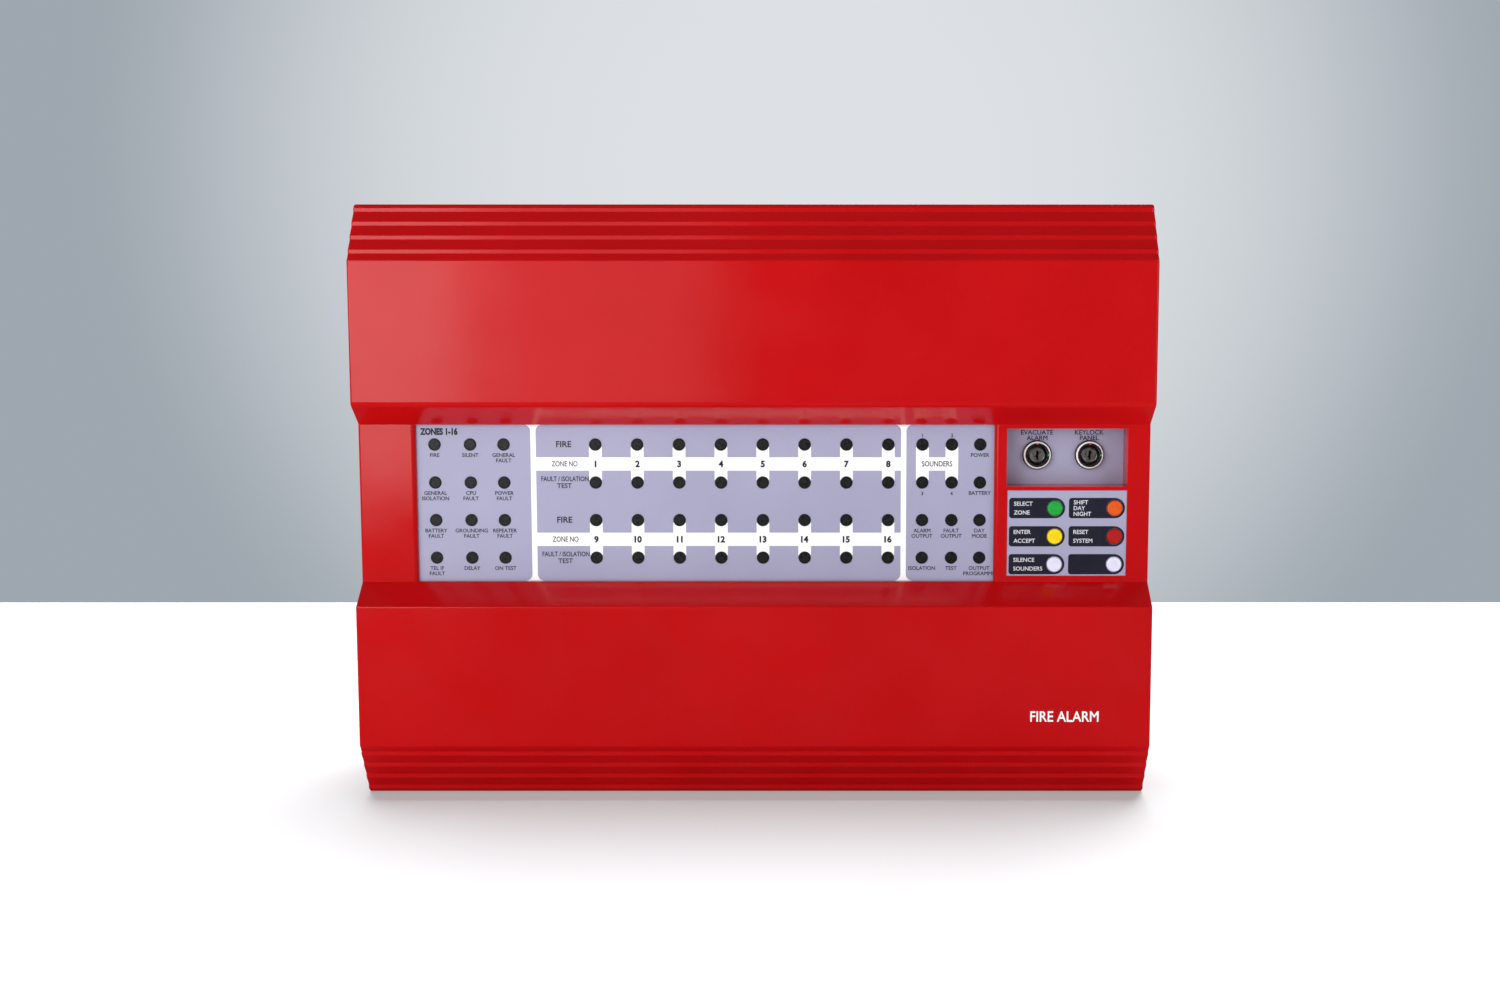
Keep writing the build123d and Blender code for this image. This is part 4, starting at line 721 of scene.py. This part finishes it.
def embolden(mesh, weight):
    """Moves each letter's outline outwards, with small kinks closed first.

    The font's own offset would fill in an M.
    """
    bm = bmesh.new()
    bm.from_mesh(mesh)
    bmesh.ops.remove_doubles(bm, verts=bm.verts, dist=KINK)
    bm.normal_update()
    moves = []
    for vertex in bm.verts:
        walls = [face for face in vertex.link_faces if abs(face.normal.z) < 0.5]
        normals = [wall.normal for wall in walls if wall.calc_area() > KINK]
        normals = normals or [wall.normal for wall in walls]
        if normals:
            outwards = sum(normals, Vector()).normalized()
            moves.append((vertex, outwards * weight / max(outwards.dot(normals[0]), 0.5)))
    for vertex, move in moves:
        vertex.co += move
    bm.to_mesh(mesh)
    bm.free()


def line_mesh(text, bold):
    curve = bpy.data.curves.new("line", "FONT")
    curve.body = text
    curve.align_x = "CENTER"
    curve.resolution_u = 3
    curve.extrude = 0.5
    maker = bpy.data.objects.new("line", curve)
    bpy.context.scene.collection.objects.link(maker)
    bpy.context.view_layer.update()
    mesh = bpy.data.meshes.new_from_object(maker.evaluated_get(bpy.context.evaluated_depsgraph_get()))
    bpy.data.objects.remove(maker)
    bpy.data.curves.remove(curve)
    embolden(mesh, bold)
    return mesh


def cap_height():
    """The height of a capital in lettering of size 1."""
    mesh = line_mesh("H", 0.0)
    return max(v.co.y for v in mesh.vertices)


def letters(bm, text, x, z, face, style, width=None, left=False):
    """One line of raised print. x is its middle, or its left end, and z is the middle of its capitals."""
    cap, bold = style
    mesh = line_mesh(text, bold)
    tall = cap / CAP
    across = [v.co.x for v in mesh.vertices]
    wide = width / (max(across) - min(across)) if width else tall
    start = x - min(across) * wide if left else x - (max(across) + min(across)) / 2 * wide
    for v in mesh.vertices:
        v.co = (start + v.co.x * wide, face - INK * (0.5 + v.co.z), z + (v.co.y - CAP / 2) * tall)
    bm.from_mesh(mesh)
    bpy.data.meshes.remove(mesh)


def piece(name, bm, material, body, smooth=False):
    """Turns a finished bmesh into an object that rides on a body."""
    bmesh.ops.remove_doubles(bm, verts=bm.verts, dist=TOUCHING)
    mesh = bpy.data.meshes.new(name)
    bm.to_mesh(mesh)
    bm.free()
    for face in mesh.polygons:
        face.use_smooth = smooth
    mesh.materials.append(material)
    made = bpy.data.objects.new(name, mesh)
    bpy.context.scene.collection.objects.link(made)
    if body:
        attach(made, body)
    return made


# Places read from the frame

def island_boxes(node):
    """The lowest and highest corner of each separate solid in a node."""
    mesh = NODES[node].data
    keys = [tuple(round(c / MM, 3) for c in v.co) for v in mesh.vertices]
    parent = {key: key for key in keys}

    def root(key):
        while parent[key] != key:
            parent[key] = parent[parent[key]]
            key = parent[key]
        return key

    for face in mesh.polygons:
        first = root(keys[face.vertices[0]])
        for index in face.vertices[1:]:
            parent[root(keys[index])] = first
    groups = {}
    for key in parent:
        groups.setdefault(root(key), []).append(key)
    boxes = []
    for points in groups.values():
        low, high = [Vector([pick(p[i] for p in points) * MM for i in range(3)]) for pick in (min, max)]
        boxes.append((low, high))
    return boxes


def lamp_grid():
    """Lamp columns' X and lamp rows' Z, from left to right and from the top down."""
    middles = [(low + high) / 2 for low, high in island_boxes("lamp_lenses")]
    columns, rows = [], []
    for p in sorted(middles, key=lambda p: p.x):
        if not columns or p.x - columns[-1] > MM:
            columns.append(p.x)
    for p in sorted(middles, key=lambda p: -p.z):
        if not rows or rows[-1] - p.z > MM:
            rows.append(p.z)
    return columns, rows


# The zone label's print

def divider_bar(x, bottom, top):
    """A white bar between two groups, flaring round the corners of the grey fields beside it."""
    left, right, r = x - BAR_HALF, x + BAR_HALF, BAR_FLARE
    return (
        arc(left - r, bottom + r, r, -90, 0) + arc(left - r, top - r, r, 0, 90)
        + arc(right + r, top - r, r, 90, 180) + arc(right + r, bottom + r, r, 180, 270)
    )


def lamp_cut(x, lamp, side):
    """The end of a white tab that meets a lamp, from left to right.

    side is 1 for a lamp above the band and -1 for a lamp below it.
    """
    end = lamp - side * TAB_REACH
    half = sqrt(LENS_CLEAR ** 2 - TAB_REACH ** 2)
    lean = degrees(atan2(TAB_REACH, half))
    start, stop = (180 + lean, 360 - lean) if side > 0 else (180 - lean, lean)
    curve = arc(x, lamp, LENS_CLEAR, start, stop)
    return [(x - TAB_HALF, end)] + curve + [(x + TAB_HALF, end)]


def comb(columns, left, right, middle, upper, lower):
    """A white band with a tab up and down to the lamps at each column."""
    top, bottom = middle + BAND_HALF, middle - BAND_HALF
    outline = [(left, bottom), (left, top)]
    for x in columns:
        outline += [(x - TAB_HALF, top)] + lamp_cut(x, upper, 1) + [(x + TAB_HALF, top)]
    outline += [(right, top), (right, bottom)]
    for x in reversed(columns):
        outline += [(x + TAB_HALF, bottom)] + lamp_cut(x, lower, -1)[::-1] + [(x - TAB_HALF, bottom)]
    return outline


def caption(bm, words, x, z, face):
    for line, word in enumerate(words):
        letters(bm, word, x, z - CAPTION_DROP - line * CAPTION_PITCH, face, CAPTION)


def print_label():
    low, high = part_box("zone_label")
    face = low.y
    bottom, top = low.z + LABEL_LIP + PRINT_MARGIN, high.z - LABEL_LIP - PRINT_MARGIN
    columns, rows = lamp_grid()
    left_group, zones, right_group = columns[:3], columns[3:-3], columns[-3:]
    first_bar, second_bar = zones[0] + FIRST_BAR_FROM_ZONE, zones[-1] + SECOND_BAR_FROM_ZONE
    white, dark, fine = bmesh.new(), bmesh.new(), bmesh.new()
    for x in (first_bar, second_bar):
        plate(white, divider_bar(x, bottom, top), face)
    legend_x = zones[0] + ROW_LEGEND_FROM_ZONE
    for group, (upper, lower) in enumerate((rows[:2], rows[2:])):
        middle = (upper + lower) / 2 - BAND_DROP
        plate(white, comb(zones, first_bar + BAR_HALF, second_bar - BAR_HALF, middle, upper, lower), face)
        for i, x in enumerate(zones):
            letters(dark, str(group * len(zones) + i + 1), x, middle, face - INK, NUMBER)
        letters(dark, "FIRE", legend_x, upper + FIRE_RISE, face, ROW, FIRE_WIDTH)
        band_z, note_z = middle + BAND_LEGEND_RISE, lower + NOTE_RISE
        letters(fine, "ZONE NO", legend_x + ZONE_NO_SHIFT, band_z, face - INK, BAND, ZONE_NO_WIDTH)
        letters(dark, "FAULT / ISOLATION", legend_x + NOTE_SHIFTS[0], note_z, face, NOTE, NOTE_WIDTH)
        letters(dark, "TEST", legend_x + NOTE_SHIFTS[1], note_z - NOTE_PITCH, face, NOTE)
    pair = right_group[:2]
    middle = (rows[0] + rows[1]) / 2 - BAND_DROP
    plate(white, comb(pair, pair[0] - TAB_HALF, pair[1] + TAB_HALF, middle, *rows[:2]), face)
    letters(fine, "SOUNDERS", sum(pair) / 2, middle + BAND_LEGEND_RISE, face - INK, BAND, SOUNDERS_WIDTH)
    for number, (x, z) in enumerate([(x, z) for z in rows[:2] for x in pair]):
        rise = SOUNDER_ABOVE if number < 2 else SOUNDER_BELOW
        letters(dark, str(number + 1), x, z + rise, face, SOUNDER)
    for group, captions in ((left_group, LEFT_CAPTIONS), (right_group, RIGHT_CAPTIONS)):
        for z, row in zip(rows, captions):
            for x, words in zip(group, row):
                caption(dark, words, x, z, face)
    heading_x, heading_z = left_group[0] + HEADING_SHIFT, rows[0] + HEADING_RISE
    letters(dark, "ZONES 1-16", heading_x, heading_z, face, HEADING, HEADING_WIDTH)
    white_ink = printing_ink("white_ink", (0.84, 0.84, 0.86, 1), (0.94, 0.94, 0.95, 1))
    piece("label_white_print", white, white_ink, "cover")
    piece("label_dark_print", dark, DARK_INK, "cover")
    grey_ink = printing_ink("grey_ink", (0.055, 0.055, 0.075, 1), (0.03, 0.03, 0.045, 1))
    piece("label_fine_print", fine, grey_ink, "cover")


# A dark ring painted on each lamp lens's face near its edge: painted shade for the lens's darker rim, not
# real print.
def paint_lens_edge_shade():
    bm = bmesh.new()
    for low, high in island_boxes("lamp_lenses"):
        middle = (low + high) / 2
        ring(bm, middle.x, middle.z, LENS_SHADE_INNER, LENS_SHADE_OUTER, low.y)
    edge_shade = printing_ink("lens_edge_shade_paint", (0.004, 0.004, 0.004, 1), (0.006, 0.006, 0.006, 1))
    piece("lens_edge_painted_shade", bm, edge_shade, "cover")


# Keys, buttons and cover

def print_keys():
    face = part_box("key_plate")[0].y
    legends, red, green = bmesh.new(), bmesh.new(), bmesh.new()
    barrels = sorted(island_boxes("key_barrels"), key=lambda box: box[0].x)
    for (low, high), words in zip(barrels, KEY_LEGENDS):
        middle = (low + high) / 2
        for word, rise in zip(words, KEY_WORD_RISES):
            letters(legends, word, middle.x, middle.z + rise, face, KEY)
        for bm, x, z in ((red, 0, KEY_MARK_OUT), (green, KEY_MARK_OUT, 0)):
            plate(bm, circle(middle.x + x, middle.z + z, KEY_MARK_RADIUS), low.y)
    piece("key_legends", legends, DARK_INK, "cover")
    red_ink = printing_ink("red_mark", (0.5, 0.02, 0.02, 1), (0.62, 0.03, 0.03, 1))
    piece("key_marks_red", red, red_ink, "cover")
    green_ink = printing_ink("green_mark", (0.05, 0.3, 0.08, 1), (0.08, 0.4, 0.1, 1))
    piece("key_marks_green", green, green_ink, "cover")


def pill(bm, x, z, face):
    """The dark field round a button: square on the left and round on the right, with the button's hole."""
    left, c = x - PILL_LEFT, PILL_CORNER
    top, bottom = z + PILL_HALF, z - PILL_HALF
    field = (
        [(x, bottom)] + arc(left + c, bottom + c, c, 270, 180) + arc(left + c, top - c, c, 180, 90)
        + [(x, top)] + arc(x, z, PILL_HOLE, 90, 270, 20)
    )
    plate(bm, field, face)
    plate(bm, arc(x, z, PILL_HALF, -90, 90, 20) + arc(x, z, PILL_HOLE, 90, -90, 20), face)


def print_buttons():
    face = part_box("button_plate")[0].y
    fields, words = bmesh.new(), bmesh.new()
    for name, lines in BUTTON_LEGENDS.items():
        low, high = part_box(f"button_{name}")
        middle = (low + high) / 2
        pill(fields, middle.x, middle.z, face)
        pitch = TWO_LINE_PITCH if len(lines) == 2 else THREE_LINE_PITCH
        for i, line in enumerate(lines):
            z = middle.z + ((len(lines) - 1) / 2 - i) * pitch
            x = middle.x - PILL_LEFT + PILL_INDENT
            letters(words, line, x, z, face - INK, PILL, left=True)
    navy = printing_ink("navy_ink", (0.015, 0.015, 0.031, 1), (0.010, 0.010, 0.023, 1))
    piece("button_fields", fields, navy, "cover")
    pale = printing_ink("pale_ink", (0.50, 0.50, 0.56, 1), (0.72, 0.72, 0.78, 1))
    piece("button_legends", words, pale, "cover")


def letter_cover():
    low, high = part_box("front_cover")
    bm = bmesh.new()
    letters(bm, "FIRE ALARM", high.x - FRONT_INSET, low.z + FRONT_INSET, low.y, FRONT, FRONT_WIDTH)
    white = printing_ink("white_lettering", (0.90, 0.90, 0.91, 1), (0.95, 0.95, 0.96, 1), (0.25, 0.38))
    piece("cover_lettering", bm, white, "cover")


# Inside: the ribbon cable and the battery stickers

def smooth_path(knots, steps=12):
    """Points along a quadratic B-spline that starts and ends on the first and last control points."""
    spans = [knots[0]] + [(a + b) / 2 for a, b in zip(knots[1:-1], knots[2:-1])] + [knots[-1]]
    path = []
    for start, control, end in zip(spans, knots[1:-1], spans[1:]):
        for i in range(steps):
            t = i / steps
            path.append(start * (1 - t) ** 2 + control * 2 * t * (1 - t) + end * t * t)
    return path + [knots[-1]]


def ribbed_section(low, high):
    """(Z, offset) points round the ribbon's section: a shallow ridge for each core, on both faces."""
    pitch = (high - low) / RIBBON_CORES
    rise = []
    for core in range(RIBBON_CORES):
        for part, lift in CORE_RIDGE:
            rise.append((low + (core + part) * pitch, lift * RIBBON_HALF))
    rise.append((high, CORE_RIDGE[0][1] * RIBBON_HALF))
    return rise + [(z, -lift) for z, lift in reversed(rise)]


def ribbon_cable(material):
    low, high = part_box("ribbon_cable")
    main_low, main_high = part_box("main_ribbon_socket")
    display_low, display_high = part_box("display_ribbon_socket")
    leaves = Vector(((main_low.x + main_high.x) / 2, main_low.y))
    enters = Vector(((display_low.x + display_high.x) / 2, display_high.y))
    knots = [leaves + Vector(p) * MM for p in RIBBON_FROM_MAIN]
    path = smooth_path(knots + [enters + Vector(p) * MM for p in RIBBON_FROM_DISPLAY])
    section = ribbed_section(low.z, high.z)
    bm = bmesh.new()
    rings = []
    for i, point in enumerate(path):
        ahead = path[min(i + 1, len(path) - 1)] - path[max(i - 1, 0)]
        side = Vector((-ahead.y, ahead.x)).normalized()
        rings.append([bm.verts.new((*(point + side * offset), z)) for z, offset in section])
    for one, other in zip(rings, rings[1:]):
        for j in range(len(section)):
            k = (j + 1) % len(section)
            bm.faces.new((one[j], one[k], other[k], other[j]))
    caps = [bm.faces.new(rings[0][::-1]), bm.faces.new(rings[-1])]
    bmesh.ops.triangulate(bm, faces=caps)
    bmesh.ops.recalc_face_normals(bm, faces=bm.faces)
    made = piece("ribbon_flat_cable", bm, material, None, smooth=True)
    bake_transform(made)
    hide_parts("ribbon_cable")


def battery_stickers():
    paper, words = bmesh.new(), bmesh.new()
    for side in ("left", "right"):
        low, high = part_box(f"battery_{side}")
        x, z, face = (low.x + high.x) / 2, low.z + STICKER_MIDDLE, low.y
        right, up = STICKER_HALF_WIDTH - STICKER_CORNER, STICKER_HALF_HEIGHT - STICKER_CORNER
        corners = ((right, up, 0), (-right, up, 90), (-right, -up, 180), (right, -up, 270))
        outline = []
        for cx, cz, turn in corners:
            outline += arc(x + cx, z + cz, STICKER_CORNER, turn, turn + 90, 6)
        plate(paper, outline, face, PAPER)
        front = face - PAPER
        letters(words, "12 V  7 Ah", x, z + RATING_RISE, front, RATING)
        letters(words, "SEALED LEAD-ACID BATTERY", x, z - SMALL_PRINT_DROP, front, SMALL_PRINT)
    sticker = printing_ink("sticker_paper", (0.66, 0.67, 0.68, 1), (0.76, 0.77, 0.78, 1))
    piece("battery_stickers", paper, sticker, "case")
    piece("battery_sticker_print", words, DARK_INK, "case")


# The panel

CAP = cap_height()
make_camera(CAD_BOX[0])
studio()
floor_sun(make_floor(CAD_BOX[0].z - FLOOR_GAP))
LOOKS = slot_materials()
dress_nodes(LOOKS)
DARK_INK = printing_ink("dark_ink", (0.020, 0.019, 0.028, 1), (0.010, 0.009, 0.014, 1))
print_label()
paint_lens_edge_shade()
print_keys()
print_buttons()
letter_cover()
ribbon_cable(LOOKS["ribbon_grey"])
battery_stickers()
